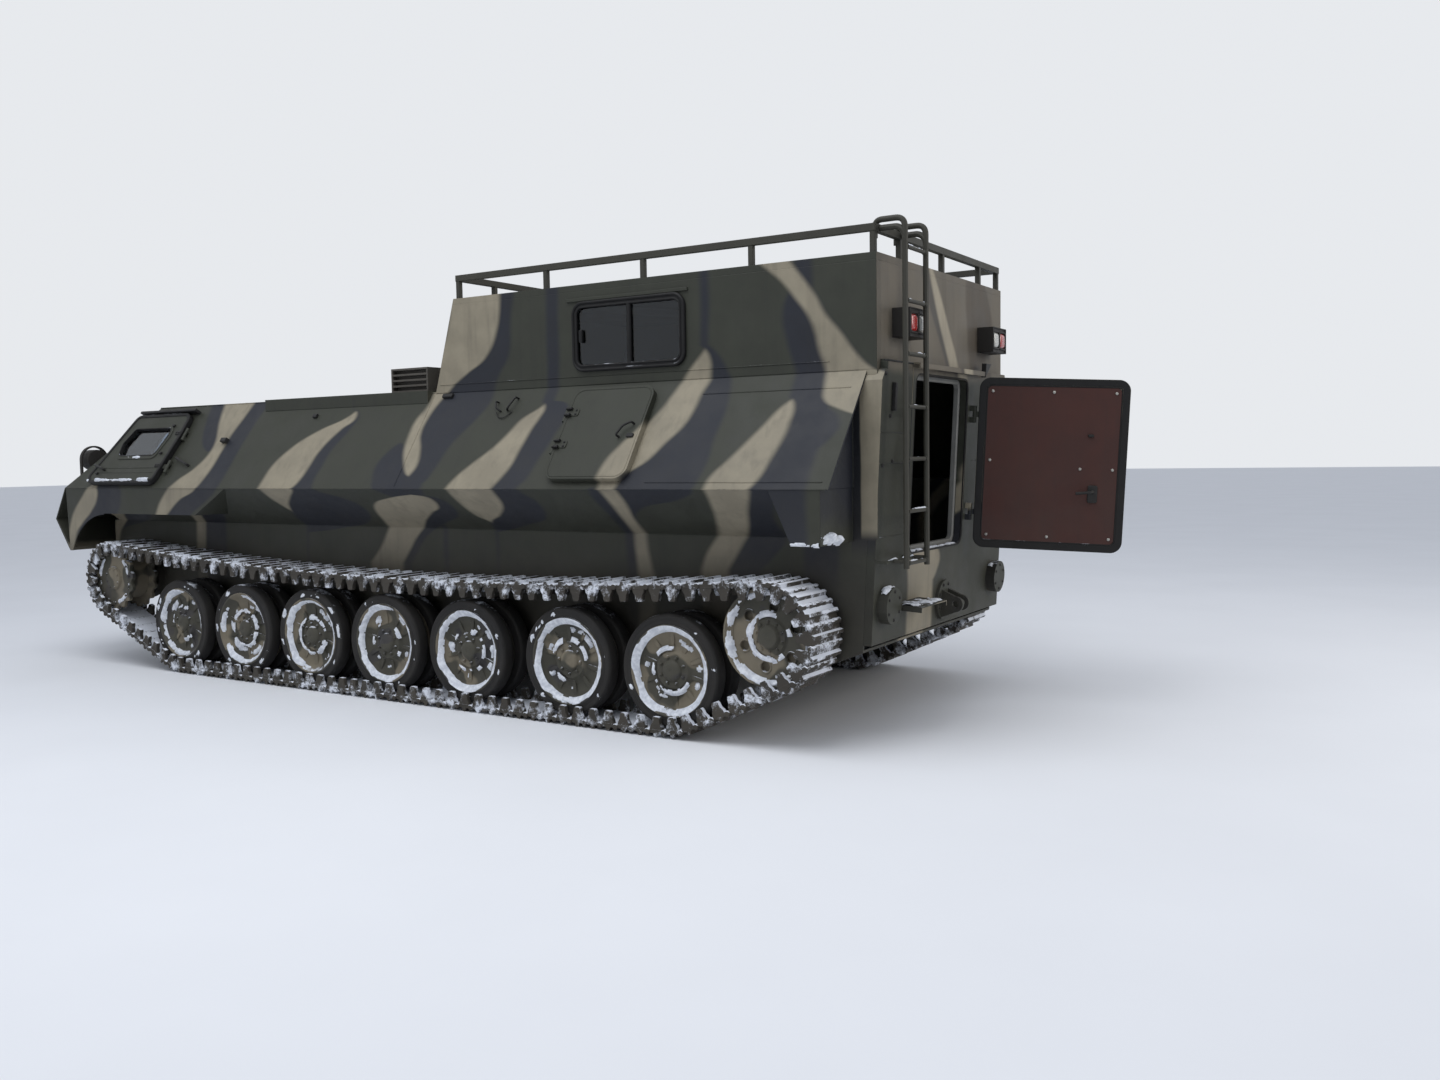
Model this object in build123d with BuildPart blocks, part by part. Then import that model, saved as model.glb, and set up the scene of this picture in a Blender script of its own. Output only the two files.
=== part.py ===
from build123d import *
from math import acos, atan2, cos, hypot, pi, radians, sin, sqrt, tan
import os

os.makedirs("parts", exist_ok=True)

# A tracked carrier with a wedge cab, an engine deck and a tall passenger cabin.
# Millimetres. +X is forward, +Y is left, +Z is up. The ground is z = 0, and the
# origin is under the middle of the overall length, which takes in the open rear door.

# Hull
hull_length = 7450
tub_half = 1030
tub_bottom_z = 430
sill_z = 1155
belt_z = 1440
crease_z = 2085
side_slant = 420
armour = 12
tub_plate = 14

# Tracks and what they run on
track_gap = 45
track_width = 350
track_half = tub_half + track_gap + track_width / 2
pitch = 117
pin_inset = 20
lug_out = 30
wheel_radius = 335
tyre_thick = 62
disc_width = 95
disc_gap = 70
first_wheel = 1643
last_wheel_back = 1167
least_wheel_step = 700
extra_wheel_gap = 80
sprocket_station = 750
sprocket_z = 700
sprocket_teeth = 15
idler_station = hull_length - 515
idler_z = 625
idler_pin_radius = 300
sag_radius = 38000

# The hull's widths follow the tracks, and its upper half-widths follow the crease
belt_half = track_half + track_width / 2
crease_half = belt_half - side_slant
deck_half = crease_half + 45
louvre_half = crease_half - 20
cabin_half = crease_half + 5

# Nose and glacis, as stations behind the nose edge
nose_edge_z = 1180
nose_taper = 25
nose_edge_half = belt_half - nose_taper
belt_front = 200
nose_bottom = 240
nose_bottom_z = 920
tub_front = 1000
glacis_top = 950
fender_z = 1235
arch_radius = 525
fender_foot = 1960
fender_tip = 2330

# Rear end, as distances ahead of the hull's end where these are called back
rear_lean = 3.0
rear_plate_thick = 50
rear_bottom_z = 560
tub_rear_flat = hull_length - 320
side_end = hull_length - 105
closing_station = hull_length - 160
rear_fender_front = hull_length - 470
rear_fender_foot = hull_length - 330
rear_fender_z = 1140
fender_thick = 8

# Rear door
leaf_width = 915
leaf_height = 1080
leaf_thick = 44
leaf_corner = 70
doorway_width = 835
doorway_height = 1030
doorway_bottom_z = 1045
doorway_corner = 60
hinge_y = -340
hinge_reach = 27
leaf_edge = 25
leaf_seal = 5
leaf_open = 110
low_hinge_rise = 200
high_hinge_rise = 820

# Cab
roof_thick = 10
deck_front = 2350
deck_end = 4080
deck_top_z = crease_z + 20
louvre_front = 3660
louvre_end = 4020
louvre_top_z = deck_top_z + 170

# Cabin
cabin_base_front = 4120
cabin_roof_front = 4310
cabin_top_z = 2715
cabin_rear = hull_length - 10
wall_thick = 45
lintel_z = crease_z + 55
rail_top_z = cabin_top_z + 155

# Places worked out from the sizes above
lean = radians(rear_lean)
swing = radians(leaf_open)
pin_reach = leaf_edge + leaf_width
leaf_middle_up = (doorway_bottom_z - belt_z) / cos(lean) + doorway_height / 2
leaf_out = pin_reach * sin(swing) - (hinge_reach - leaf_seal) * cos(swing)
corner_out = cos(lean) * sin(swing)
corner_cut = leaf_corner * (corner_out + sin(lean) - hypot(corner_out, sin(lean)))
door_reach = (leaf_middle_up + leaf_height / 2) * sin(lean) + (hinge_reach + leaf_out) * cos(lean) - corner_cut
overall_length = hull_length + door_reach
front_x = overall_length / 2
rear_x = front_x - hull_length


def at(station):
    """The x of a station, which counts back from the nose edge."""
    return front_x - station


side_lean = atan2(belt_half - crease_half, crease_z - belt_z)
side_height = hypot(belt_half - crease_half, crease_z - belt_z)
glacis_slope = atan2(crease_z - belt_z, glacis_top - belt_front)
glacis_length = hypot(crease_z - belt_z, glacis_top - belt_front)

# The left side plate: local x runs back from the nose, local y runs up the plate
side_plane = Plane(
    origin=(front_x, belt_half, belt_z), x_dir=(-1, 0, 0), z_dir=(0, cos(side_lean), sin(side_lean))
)
right_side_plane = Plane(
    origin=(front_x, -belt_half, belt_z), x_dir=(1, 0, 0), z_dir=(0, -cos(side_lean), sin(side_lean))
)
# The glacis: local x runs to the right seen from the front, local y runs up the slope
glacis_plane = Plane(
    origin=(at(belt_front), 0, belt_z), x_dir=(0, 1, 0), z_dir=(sin(glacis_slope), 0, cos(glacis_slope))
)
# The rear plate: local x runs to the right seen from behind, local y runs up the plate
rear_plane = Plane(origin=(rear_x, 0, belt_z), x_dir=(0, -1, 0), z_dir=(-cos(lean), 0, -sin(lean)))

pieces = {}
overcut = 100


def keep(name, block):
    """Label a finished piece and put it on the list of files."""
    block.part.label = name
    pieces[name] = block.part


def rear_height(z):
    """The distance up the rear plate from the belt to a height."""
    return (z - belt_z) / cos(lean)


def rear_face(z):
    """The x of the rear plate's outer face at a height."""
    return rear_x - (z - belt_z) * tan(lean)


def moved(frame, place):
    """A plane carried along by a move given in its own axes."""
    return Plane(frame.location * place)


# Hinges: on a plane whose local y runs along the pin, with the leaf on one side of it

pin_radius = 6
pin_slack = 0.05
knuckle_radius = 13
knuckle_length = 36
knuckle_gap = 0.3
arm_thick = 12


def pin_section(frame, along):
    """The plane across a hinge pin, at a distance along it."""
    start = frame.origin + frame.y_dir * along
    return Plane(origin=start, x_dir=frame.x_dir, z_dir=frame.y_dir)


def fixed_half(frame, foot):
    """Two knuckles on feet of a given height, and the pin between them."""
    step = knuckle_length + knuckle_gap
    with BuildPart() as half:
        for start in (-1.5 * step, 0.5 * step + knuckle_gap / 2):
            with BuildSketch(pin_section(frame, start)):
                Circle(knuckle_radius)
                with Locations((0, foot / 2)):
                    Rectangle(2 * knuckle_radius, foot)
            extrude(amount=knuckle_length)
        with BuildSketch(pin_section(frame, -1.5 * step)):
            Circle(pin_radius)
        extrude(amount=3 * step)
    return half.part


def moving_half(frame, leaf_side, edge, drop):
    """The middle knuckle, with an arm to the leaf's edge, which may lie below the pin."""
    with BuildPart() as half:
        with BuildSketch(pin_section(frame, -knuckle_length / 2)):
            Circle(knuckle_radius)
            with BuildLine():
                Polyline(
                    (0, -arm_thick / 2),
                    (leaf_side * edge, drop - arm_thick / 2),
                    (leaf_side * (edge + 2), drop - arm_thick / 2),
                    (leaf_side * (edge + 2), drop + arm_thick / 2),
                    (leaf_side * edge, drop + arm_thick / 2),
                    (0, arm_thick / 2),
                    close=True,
                )
            make_face()
            Circle(pin_radius + pin_slack, mode=Mode.SUBTRACT)
        extrude(amount=knuckle_length)
    return half.part


# Side plates, with the openings of the cab door and the side hatch

cab_door_outline = ((514, 28), (782, 678), (1494, 678), (1494, 480), (1440, 28))
cab_door_round = 70
door_overlap = 30
hatch_front = 5405
hatch_rear = 6020
hatch_low = 50
hatch_high = 715
hatch_round = 80
leaf_seat = 0.3
door_thick = 40
hinge_edge = 20
hinge_height = 20
cab_pin = cab_door_outline[2][0] + hinge_edge
hatch_pin = hatch_front - hinge_edge
cab_hinges = (188, 490)
hatch_hinges = (295, 530)


def cab_door_edge(up):
    """How far back the cab door's hinged edge lies, at a height up the side."""
    high, low = cab_door_outline[3], cab_door_outline[4]
    share = min(1, (up - low[1]) / (high[1] - low[1]))
    return low[0] + (high[0] - low[0]) * share


def cab_door_sketch(inset, height):
    """The cab door's outline, drawn in from its edge."""
    with BuildSketch(side_plane.offset(height)) as outline:
        with BuildLine():
            Polyline(*cab_door_outline, close=True)
        make_face()
        fillet(outline.vertices(), cab_door_round)
        if inset:
            offset(amount=-inset, kind=Kind.INTERSECTION, mode=Mode.REPLACE)
    return outline.sketch


def hatch_sketch(inset, height):
    """The side hatch's outline, drawn in from its edge."""
    middle = ((hatch_front + hatch_rear) / 2, (hatch_low + hatch_high) / 2)
    with BuildSketch(side_plane.offset(height)) as outline:
        with Locations(middle):
            RectangleRounded(
                hatch_rear - hatch_front - 2 * inset, hatch_high - hatch_low - 2 * inset, hatch_round - inset
            )
    return outline.sketch


glacis_inner = glacis_plane.offset(-armour)
side_end_plane = Plane(
    origin=(at(side_end), 0, belt_z), x_dir=(0, -1, 0), z_dir=(-cos(lean), 0, -sin(lean))
)

with BuildPart() as side_plate_left:
    with BuildSketch(side_plane):
        with Locations((hull_length / 2, side_height / 2)):
            Rectangle(hull_length + 2 * overcut, side_height + 2 * overcut)
    extrude(amount=-armour)
    split(bisect_by=Plane.XY.offset(belt_z), keep=Keep.TOP)
    split(bisect_by=Plane.XY.offset(crease_z), keep=Keep.BOTTOM)
    split(bisect_by=glacis_inner, keep=Keep.BOTTOM)
    split(bisect_by=side_end_plane, keep=Keep.BOTTOM)
    extrude(cab_door_sketch(door_overlap, 0), amount=-2 * armour, both=True, mode=Mode.SUBTRACT)
    extrude(hatch_sketch(door_overlap, 0), amount=-2 * armour, both=True, mode=Mode.SUBTRACT)
    for up in cab_hinges:
        add(fixed_half(moved(side_plane, Pos(cab_pin, up, hinge_height)), hinge_height))
    for up in hatch_hinges:
        add(fixed_half(moved(side_plane, Pos(hatch_pin, up, hinge_height)), hinge_height))
keep("side_plate_left", side_plate_left)

with BuildPart() as side_plate_right:
    mirror(side_plate_left.part, about=Plane.XZ)
keep("side_plate_right", side_plate_right)

# Glacis, with two windscreens

screen_width = 720
screen_height = 330
screen_round = 60
screen_middle = 470
screen_up = 560

with BuildPart() as glacis:
    with BuildSketch(glacis_plane):
        with Locations((0, glacis_length / 2)):
            Rectangle(2 * belt_half + 2 * overcut, glacis_length + 2 * overcut)
    extrude(amount=-armour)
    split(bisect_by=Plane.XY.offset(belt_z), keep=Keep.TOP)
    split(bisect_by=Plane.XY.offset(crease_z), keep=Keep.BOTTOM)
    split(bisect_by=side_plane, keep=Keep.BOTTOM)
    split(bisect_by=right_side_plane, keep=Keep.BOTTOM)
    with BuildSketch(glacis_plane):
        with Locations((-screen_middle, screen_up), (screen_middle, screen_up)):
            RectangleRounded(screen_width, screen_height, screen_round)
    extrude(amount=-3 * armour, both=True, mode=Mode.SUBTRACT)
keep("glacis", glacis)

# Nose: a bent front plate and a cheek on each side that curves round the sprocket

bevel_run = 20
nose_lip = 25
nose_fold = 16

arch_start = (
    at(sprocket_station) + sqrt(arch_radius**2 - (nose_bottom_z - sprocket_z) ** 2),
    nose_bottom_z,
)
arch_top = (at(sprocket_station), sprocket_z + arch_radius)

with BuildPart() as cheek_left:
    with BuildSketch(Plane.XZ.offset(-belt_half)):
        with BuildLine():
            Polyline(
                arch_top,
                (at(sprocket_station), fender_z),
                (at(fender_foot), fender_z),
                (at(fender_tip), belt_z),
                (at(belt_front + bevel_run), belt_z),
                (at(nose_bottom), nose_bottom_z),
                arch_start,
            )
            RadiusArc(arch_start, arch_top, -arch_radius)
        make_face()
    extrude(amount=fender_thick)

with BuildPart() as nose:
    with BuildSketch(Plane.XZ):
        with BuildLine():
            Polyline(
                (at(belt_front), belt_z),
                (at(0), nose_edge_z),
                (at(nose_bottom), nose_bottom_z),
                (at(nose_bottom + armour), nose_bottom_z),
                (at(nose_bottom + armour), nose_bottom_z + nose_lip),
                (at(nose_fold), nose_edge_z),
                (at(belt_front + nose_fold), belt_z),
                close=True,
            )
        make_face()
    extrude(amount=belt_half, both=True)
    for side in (1, -1):
        bevel = Plane(
            origin=(front_x, side * nose_edge_half, nose_edge_z),
            x_dir=(0, 0, 1),
            z_dir=(belt_half - nose_edge_half, side * (belt_front + bevel_run), 0),
        )
        split(bisect_by=bevel, keep=Keep.BOTTOM)
    add(cheek_left.part)
    mirror(cheek_left.part, about=Plane.XZ)
keep("nose", nose)

# Hull tub, an open shell between the tracks

tub_inner = tub_half - tub_plate
rear_inner = rear_plane.offset(-rear_plate_thick)
tub_front_station = nose_bottom + armour
front_slope = (nose_bottom_z - tub_bottom_z) / (tub_front - tub_front_station)
rear_slope = (rear_bottom_z - tub_bottom_z) / (hull_length - tub_rear_flat)
final_drive_radius = 190
idler_crank_radius = 90
drive_face = tub_half + 62
axle_radius = 60
dish_depth = 60
wheel_inner = track_half - disc_gap / 2 - disc_width


def tub_profile(wall):
    """The tub seen from the side, drawn in by a wall, and open at the top."""
    with BuildSketch(Plane.XZ) as profile:
        with BuildLine():
            Polyline(
                (at(tub_front_station + wall), sill_z),
                (at(tub_front_station + wall), nose_bottom_z + wall / 2),
                (at(tub_front + wall / 2), tub_bottom_z + wall),
                (at(tub_rear_flat - wall / 4), tub_bottom_z + wall),
                (at(hull_length), rear_bottom_z + wall),
                (at(hull_length), sill_z),
                close=True,
            )
        make_face()
    return profile.sketch


with BuildPart() as hull_tub:
    extrude(tub_profile(0), amount=tub_half, both=True)
    extrude(tub_profile(tub_plate), amount=tub_inner, both=True, mode=Mode.SUBTRACT)
    split(bisect_by=rear_inner, keep=Keep.BOTTOM)
    for side in (1, -1):
        housings = Plane(origin=(0, side * tub_half, 0), x_dir=(-side, 0, 0), z_dir=(0, side, 0))
        with BuildSketch(housings):
            with Locations((-side * at(sprocket_station), sprocket_z)):
                Circle(final_drive_radius)
        extrude(amount=drive_face - tub_half)
        with BuildSketch(housings):
            with Locations((-side * at(idler_station), idler_z)):
                Circle(idler_crank_radius)
        extrude(amount=wheel_inner - tub_half)
        with BuildSketch(housings):
            with Locations((-side * at(idler_station), idler_z)):
                Circle(axle_radius)
        extrude(amount=wheel_inner + dish_depth - tub_half)
keep("hull_tub", hull_tub)

# Sponsons over the tracks: undercut along the hull, square under the cab

skirt_half = belt_half - fender_thick
sponson_front = 330


def section(points):
    """A cross-section at the nose edge's station, from y and z pairs."""
    with BuildSketch(Plane(origin=(at(sponson_front), 0, 0), x_dir=(0, 1, 0), z_dir=(-1, 0, 0))) as shape:
        with BuildLine():
            Polyline(*((y, -z) for y, z in points), close=True)
        make_face()
    return shape.sketch


with BuildPart() as sponson_left:
    extrude(
        section(
            (
                (tub_inner, sill_z),
                (tub_half, sill_z),
                (tub_half, fender_z),
                (skirt_half, fender_z),
                (skirt_half, belt_z),
                (tub_inner, belt_z),
            )
        ),
        amount=fender_tip - sponson_front,
    )
    split(
        bisect_by=Plane(
            origin=(at(fender_tip), skirt_half, belt_z),
            x_dir=(fender_tip - fender_foot, 0, fender_z - belt_z),
            z_dir=(-(belt_z - fender_z), 0, -(fender_tip - fender_foot)),
        ),
        keep=Keep.BOTTOM,
    )
    extrude(
        section(((tub_inner, sill_z), (tub_half, sill_z), (skirt_half, belt_z), (tub_inner, belt_z))),
        amount=closing_station - sponson_front,
    )

with BuildPart() as sponsons:
    add(sponson_left.part)
    mirror(sponson_left.part, about=Plane.XZ)
keep("sponsons", sponsons)

# Rear fenders: an outer plate with a slanted front edge and a plate across its rear

with BuildPart() as fender_left:
    with BuildSketch(Plane.XZ.offset(-belt_half)):
        with BuildLine():
            Polyline(
                (at(rear_fender_front), belt_z),
                (at(rear_fender_foot), rear_fender_z),
                (at(closing_station + fender_thick), rear_fender_z),
                (at(closing_station + fender_thick), belt_z),
                close=True,
            )
        make_face()
    extrude(amount=fender_thick)
    with BuildSketch(Plane(origin=(at(closing_station), 0, 0), x_dir=(0, 1, 0), z_dir=(-1, 0, 0))):
        with BuildLine():
            Polyline(
                (tub_half, -rear_fender_z),
                (skirt_half, -rear_fender_z),
                (skirt_half, -belt_z),
                (tub_half, -belt_z),
                close=True,
            )
        make_face()
    extrude(amount=fender_thick)

with BuildPart() as rear_fenders:
    add(fender_left.part)
    mirror(fender_left.part, about=Plane.XZ)
keep("rear_fenders", rear_fenders)

# Rear plate, with the doorway, the returns beside it and the plates that close the hull

return_thick = 20
tongue_half = cabin_half - wall_thick
doorway_middle = (hinge_y + leaf_edge + leaf_width / 2) * -1
doorway_up = rear_height(doorway_bottom_z) + doorway_height / 2
side_inner = side_plane.offset(-armour)
right_side_inner = right_side_plane.offset(-armour)
buffer_radius = 106
buffer_reach = 62
buffer_y = tub_half - 150
buffer_z = 775
ledge_z = 1030
ledge_reach = 70
ledge_inner = 640
ledge_bar = 16
step_y = 580
step_z = 751
step_width = 380
step_height = 32
step_wall = 6
step_reach = 180
gutter_y = 85
gutter_z = 2123
gutter_width = 1070
gutter_height = 30
gutter_wall = 6
gutter_reach = 45
hitch_radius = 125
hitch_thick = 20
hitch_rise = 20
rear_hinges = (
    rear_height(doorway_bottom_z + low_hinge_rise),
    rear_height(doorway_bottom_z + high_hinge_rise),
)
tow_z = 690
tow_gap = 80
tow_ear = 25
tow_reach = 110
tow_round = 48
tow_root = 95
tow_bore = 22

with BuildPart() as rear_plate:
    for low_z, high_z, half in ((rear_bottom_z, crease_z, tub_half), (crease_z, lintel_z, tongue_half)):
        with BuildSketch(Plane.XZ):
            with BuildLine():
                Polyline(
                    (rear_face(low_z), low_z),
                    (rear_face(high_z), high_z),
                    (rear_face(high_z) + rear_plate_thick / cos(lean), high_z),
                    (rear_face(low_z) + rear_plate_thick / cos(lean), low_z),
                    close=True,
                )
            make_face()
        extrude(amount=half, both=True)
    with BuildSketch(rear_plane.offset(rear_plate_thick)):
        with Locations((doorway_middle, doorway_up)):
            RectangleRounded(doorway_width, doorway_height, doorway_corner)
    extrude(amount=-3 * rear_plate_thick, mode=Mode.SUBTRACT)
    for side in (1, -1):
        with BuildSketch(Plane.XZ.offset(-side * tub_half)):
            with BuildLine():
                Polyline(
                    (at(closing_station), sill_z),
                    (rear_x + 5, sill_z),
                    (rear_x - 5, crease_z),
                    (at(closing_station), crease_z),
                    close=True,
                )
            make_face()
        extrude(amount=side * return_thick)
        with BuildSketch(Plane(origin=(at(closing_station), 0, 0), x_dir=(0, 1, 0), z_dir=(-1, 0, 0))):
            with BuildLine():
                Polyline(
                    (side * tub_half, -belt_z),
                    (side * (belt_half - armour / cos(side_lean)), -belt_z),
                    (side * tub_half, -crease_z),
                    close=True,
                )
            make_face()
        extrude(amount=armour)
    split(bisect_by=side_inner, keep=Keep.BOTTOM)
    split(bisect_by=right_side_inner, keep=Keep.BOTTOM)
    for side in (1, -1):
        with BuildSketch(rear_plane):
            for y in (tub_half - ledge_bar / 2, ledge_inner + ledge_bar / 2):
                with Locations((side * y, rear_height(ledge_z))):
                    Rectangle(ledge_bar, ledge_bar)
        extrude(amount=ledge_reach)
        with BuildSketch(rear_plane.offset(ledge_reach - ledge_bar)):
            with Locations((side * (tub_half + ledge_inner) / 2, rear_height(ledge_z))):
                Rectangle(tub_half - ledge_inner, ledge_bar)
        extrude(amount=ledge_bar)
        with BuildSketch(rear_plane):
            with Locations((side * buffer_y, rear_height(buffer_z))):
                Circle(buffer_radius)
        extrude(amount=buffer_reach)
    with BuildSketch(rear_plane):
        with Locations((-step_y, rear_height(step_z))):
            Rectangle(step_width, step_height)
        with Locations((-step_y, rear_height(step_z) - step_wall)):
            Rectangle(step_width - 2 * step_wall, step_height, mode=Mode.SUBTRACT)
    extrude(amount=step_reach)
    with BuildSketch(rear_plane):
        with Locations((-gutter_y, rear_height(gutter_z) + (gutter_height - gutter_wall) / 2)):
            Rectangle(gutter_width, gutter_wall)
    extrude(amount=gutter_reach)
    with BuildSketch(rear_plane.offset(gutter_reach - gutter_wall)):
        with Locations((-gutter_y, rear_height(gutter_z))):
            Rectangle(gutter_width, gutter_height)
    extrude(amount=gutter_wall)
    with BuildSketch(rear_plane):
        with Locations((0, rear_height(tow_z + hitch_rise))):
            Circle(hitch_radius)
    extrude(amount=hitch_thick)
    for up in rear_hinges:
        add(fixed_half(moved(rear_plane, Pos(-hinge_y, up, hinge_reach)), hinge_reach))
    for y in (tow_gap / 2 + tow_ear, -tow_gap / 2):
        with BuildSketch(Plane.XZ.offset(-y)):
            with BuildLine():
                Polyline(
                    (rear_face(tow_z + tow_root), tow_z + tow_root),
                    (rear_face(tow_z) - tow_reach, tow_z + tow_round),
                    (rear_face(tow_z) - tow_reach, tow_z - tow_round),
                    (rear_face(tow_z - tow_root), tow_z - tow_root),
                    close=True,
                )
            make_face()
            with Locations((rear_face(tow_z) - tow_reach, tow_z)):
                Circle(tow_round)
                Circle(tow_bore, mode=Mode.SUBTRACT)
        extrude(amount=tow_ear)
keep("rear_plate", rear_plate)

# Cab roof with two hatch openings

roof_hatch_station = 1560
roof_hatch_y = 470
roof_hatch_size = 520
roof_hatch_round = 90
roof_hatch_rim = 30
roof_hatch_thick = 16
lid_pin_height = 14
lid_pin_edge = 18
lid_pin_station = roof_hatch_station + roof_hatch_size / 2 + lid_pin_edge


def lid_hinge(side):
    """The plane of a roof lid's hinge, with x forward to the lid and y along the pin."""
    origin = (at(lid_pin_station), side * roof_hatch_y, crease_z + roof_thick + lid_pin_height)
    return Plane(origin=origin, x_dir=(1, 0, 0), z_dir=(0, 0, 1))


with BuildPart() as cab_roof:
    with BuildSketch(Plane.XY.offset(crease_z)):
        with Locations(((at(glacis_top) + at(deck_front)) / 2, 0)):
            Rectangle(deck_front - glacis_top, 2 * crease_half)
        with Locations((at(roof_hatch_station), roof_hatch_y), (at(roof_hatch_station), -roof_hatch_y)):
            RectangleRounded(
                roof_hatch_size - 2 * roof_hatch_rim,
                roof_hatch_size - 2 * roof_hatch_rim,
                roof_hatch_round - roof_hatch_rim,
                mode=Mode.SUBTRACT,
            )
    extrude(amount=roof_thick)
    for side in (1, -1):
        add(fixed_half(lid_hinge(side), lid_pin_height))
keep("cab_roof", cab_roof)

# Roof hatch lids

for side, name in ((1, "roof_hatch_left"), (-1, "roof_hatch_right")):
    with BuildPart() as roof_hatch:
        with BuildSketch(Plane.XY.offset(crease_z + roof_thick + leaf_seat)):
            with Locations((at(roof_hatch_station), side * roof_hatch_y)):
                RectangleRounded(roof_hatch_size, roof_hatch_size, roof_hatch_round)
        extrude(amount=roof_hatch_thick)
        add(moving_half(lid_hinge(side), 1, lid_pin_edge, lid_pin_height - leaf_seat - roof_hatch_thick / 2))
    keep(name, roof_hatch)

# Engine deck: a raised lid over the engine with two louvred grilles

grille_length = 900
grille_width = 620
grille_station = 3000
grille_y = 480
slat_pitch = 60
grille_depth = 14

with BuildPart() as engine_deck:
    with BuildSketch(Plane.XY.offset(crease_z)):
        with Locations(((at(deck_front) + at(cabin_base_front)) / 2, 0)):
            Rectangle(cabin_base_front - deck_front, 2 * crease_half)
    extrude(amount=roof_thick)
    with BuildSketch(Plane(origin=(at(deck_front), 0, 0), x_dir=(0, 1, 0), z_dir=(-1, 0, 0))):
        with BuildLine():
            deck_foot = belt_z + (belt_half - deck_half) / tan(side_lean)
            Polyline(
                (-deck_half, -deck_top_z),
                (deck_half, -deck_top_z),
                (deck_half, -deck_foot),
                (crease_half, -crease_z),
                (-crease_half, -crease_z),
                (-deck_half, -deck_foot),
                close=True,
            )
        make_face()
    extrude(amount=deck_end - deck_front)
    with BuildSketch(Plane.XY.offset(deck_top_z)):
        with Locations((at(grille_station), grille_y), (at(grille_station), -grille_y)):
            Rectangle(grille_length, grille_width)
        slat_count = int(grille_length / slat_pitch)
        with Locations((at(grille_station), grille_y), (at(grille_station), -grille_y)):
            with GridLocations(slat_pitch, 1, slat_count, 1):
                Rectangle(slat_pitch / 2, grille_width + 2, mode=Mode.SUBTRACT)
    extrude(amount=-grille_depth, mode=Mode.SUBTRACT)
keep("engine_deck", engine_deck)

# Air box in front of the cabin, with slats in each side

slat_rows = 4
box_wall = 14
slat_depth = 45

with BuildPart() as louvre_box:
    with BuildSketch(Plane.XZ):
        with Locations(((at(louvre_front) + at(louvre_end)) / 2, (deck_top_z + louvre_top_z) / 2)):
            Rectangle(louvre_end - louvre_front, louvre_top_z - deck_top_z)
    extrude(amount=louvre_half, both=True)
    slot_pitch = (louvre_top_z - deck_top_z - box_wall) / slat_rows
    for side in (1, -1):
        with BuildSketch(Plane.XZ.offset(-side * louvre_half)):
            for row in range(slat_rows):
                slot_z = deck_top_z + box_wall + slot_pitch * (row + 0.5)
                with Locations(((at(louvre_front) + at(louvre_end)) / 2, slot_z - box_wall / 2)):
                    Rectangle(louvre_end - louvre_front - 2 * box_wall, slot_pitch - box_wall)
        extrude(amount=side * slat_depth, mode=Mode.SUBTRACT)
keep("louvre_box", louvre_box)

# Cabin: two side walls, a sloped front, a rear wall above the doorway and a roof

roof_slab = 40
wall_top_z = cabin_top_z - roof_slab
front_slant = (cabin_roof_front - cabin_base_front) / (cabin_top_z - crease_z)
window_station = 5770
window_z = 2387
window_width = 800
window_height = 380
window_round = 55
window_rim = 30
window_proud = 14
window_lap = 12
window_divider = 30
divider_station = 5785
pane_gap = 0.3
drip_front = 5296
drip_end = 6217
drip_z = 2620
drip_height = 20
drip_reach = 12
glass_thick = 8


def front_at(z):
    """The x of the cabin's sloped front at a height."""
    return at(cabin_base_front + (z - crease_z) * front_slant)


with BuildPart() as cabin_left_wall:
    with BuildSketch(Plane.XZ.offset(-cabin_half)):
        with BuildLine():
            Polyline(
                (front_at(crease_z), crease_z),
                (front_at(wall_top_z), wall_top_z),
                (at(cabin_rear), wall_top_z),
                (at(cabin_rear), crease_z),
                close=True,
            )
        make_face()
        with Locations((at(window_station), window_z)):
            RectangleRounded(window_width, window_height, window_round, mode=Mode.SUBTRACT)
    extrude(amount=wall_thick)
    with BuildSketch(Plane.XZ.offset(-cabin_half)):
        with Locations(((at(drip_front) + at(drip_end)) / 2, drip_z)):
            Rectangle(drip_end - drip_front, drip_height)
    extrude(amount=-drip_reach)
keep("cabin_left_wall", cabin_left_wall)

with BuildPart() as cabin_right_wall:
    mirror(cabin_left_wall.part, about=Plane.XZ)
keep("cabin_right_wall", cabin_right_wall)

with BuildPart() as cabin_front_wall:
    with BuildSketch(Plane.XZ):
        with BuildLine():
            Polyline(
                (front_at(crease_z + roof_thick), crease_z + roof_thick),
                (front_at(wall_top_z), wall_top_z),
                (front_at(wall_top_z) - wall_thick, wall_top_z),
                (front_at(crease_z + roof_thick) - wall_thick, crease_z + roof_thick),
                close=True,
            )
        make_face()
    extrude(amount=tongue_half, both=True)
keep("cabin_front_wall", cabin_front_wall)

with BuildPart() as cabin_rear_wall:
    with BuildSketch(Plane.XZ):
        with Locations((at(cabin_rear - wall_thick / 2), (lintel_z + wall_top_z) / 2)):
            Rectangle(wall_thick, wall_top_z - lintel_z)
    extrude(amount=tongue_half, both=True)
keep("cabin_rear_wall", cabin_rear_wall)

with BuildPart() as cabin_roof:
    with BuildSketch(Plane.XZ):
        with BuildLine():
            Polyline(
                (front_at(wall_top_z), wall_top_z),
                (front_at(cabin_top_z), cabin_top_z),
                (at(cabin_rear), cabin_top_z),
                (at(cabin_rear), wall_top_z),
                close=True,
            )
        make_face()
    extrude(amount=cabin_half, both=True)
keep("cabin_roof", cabin_roof)

# Rubber frames and panes of the cabin's side windows

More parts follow.
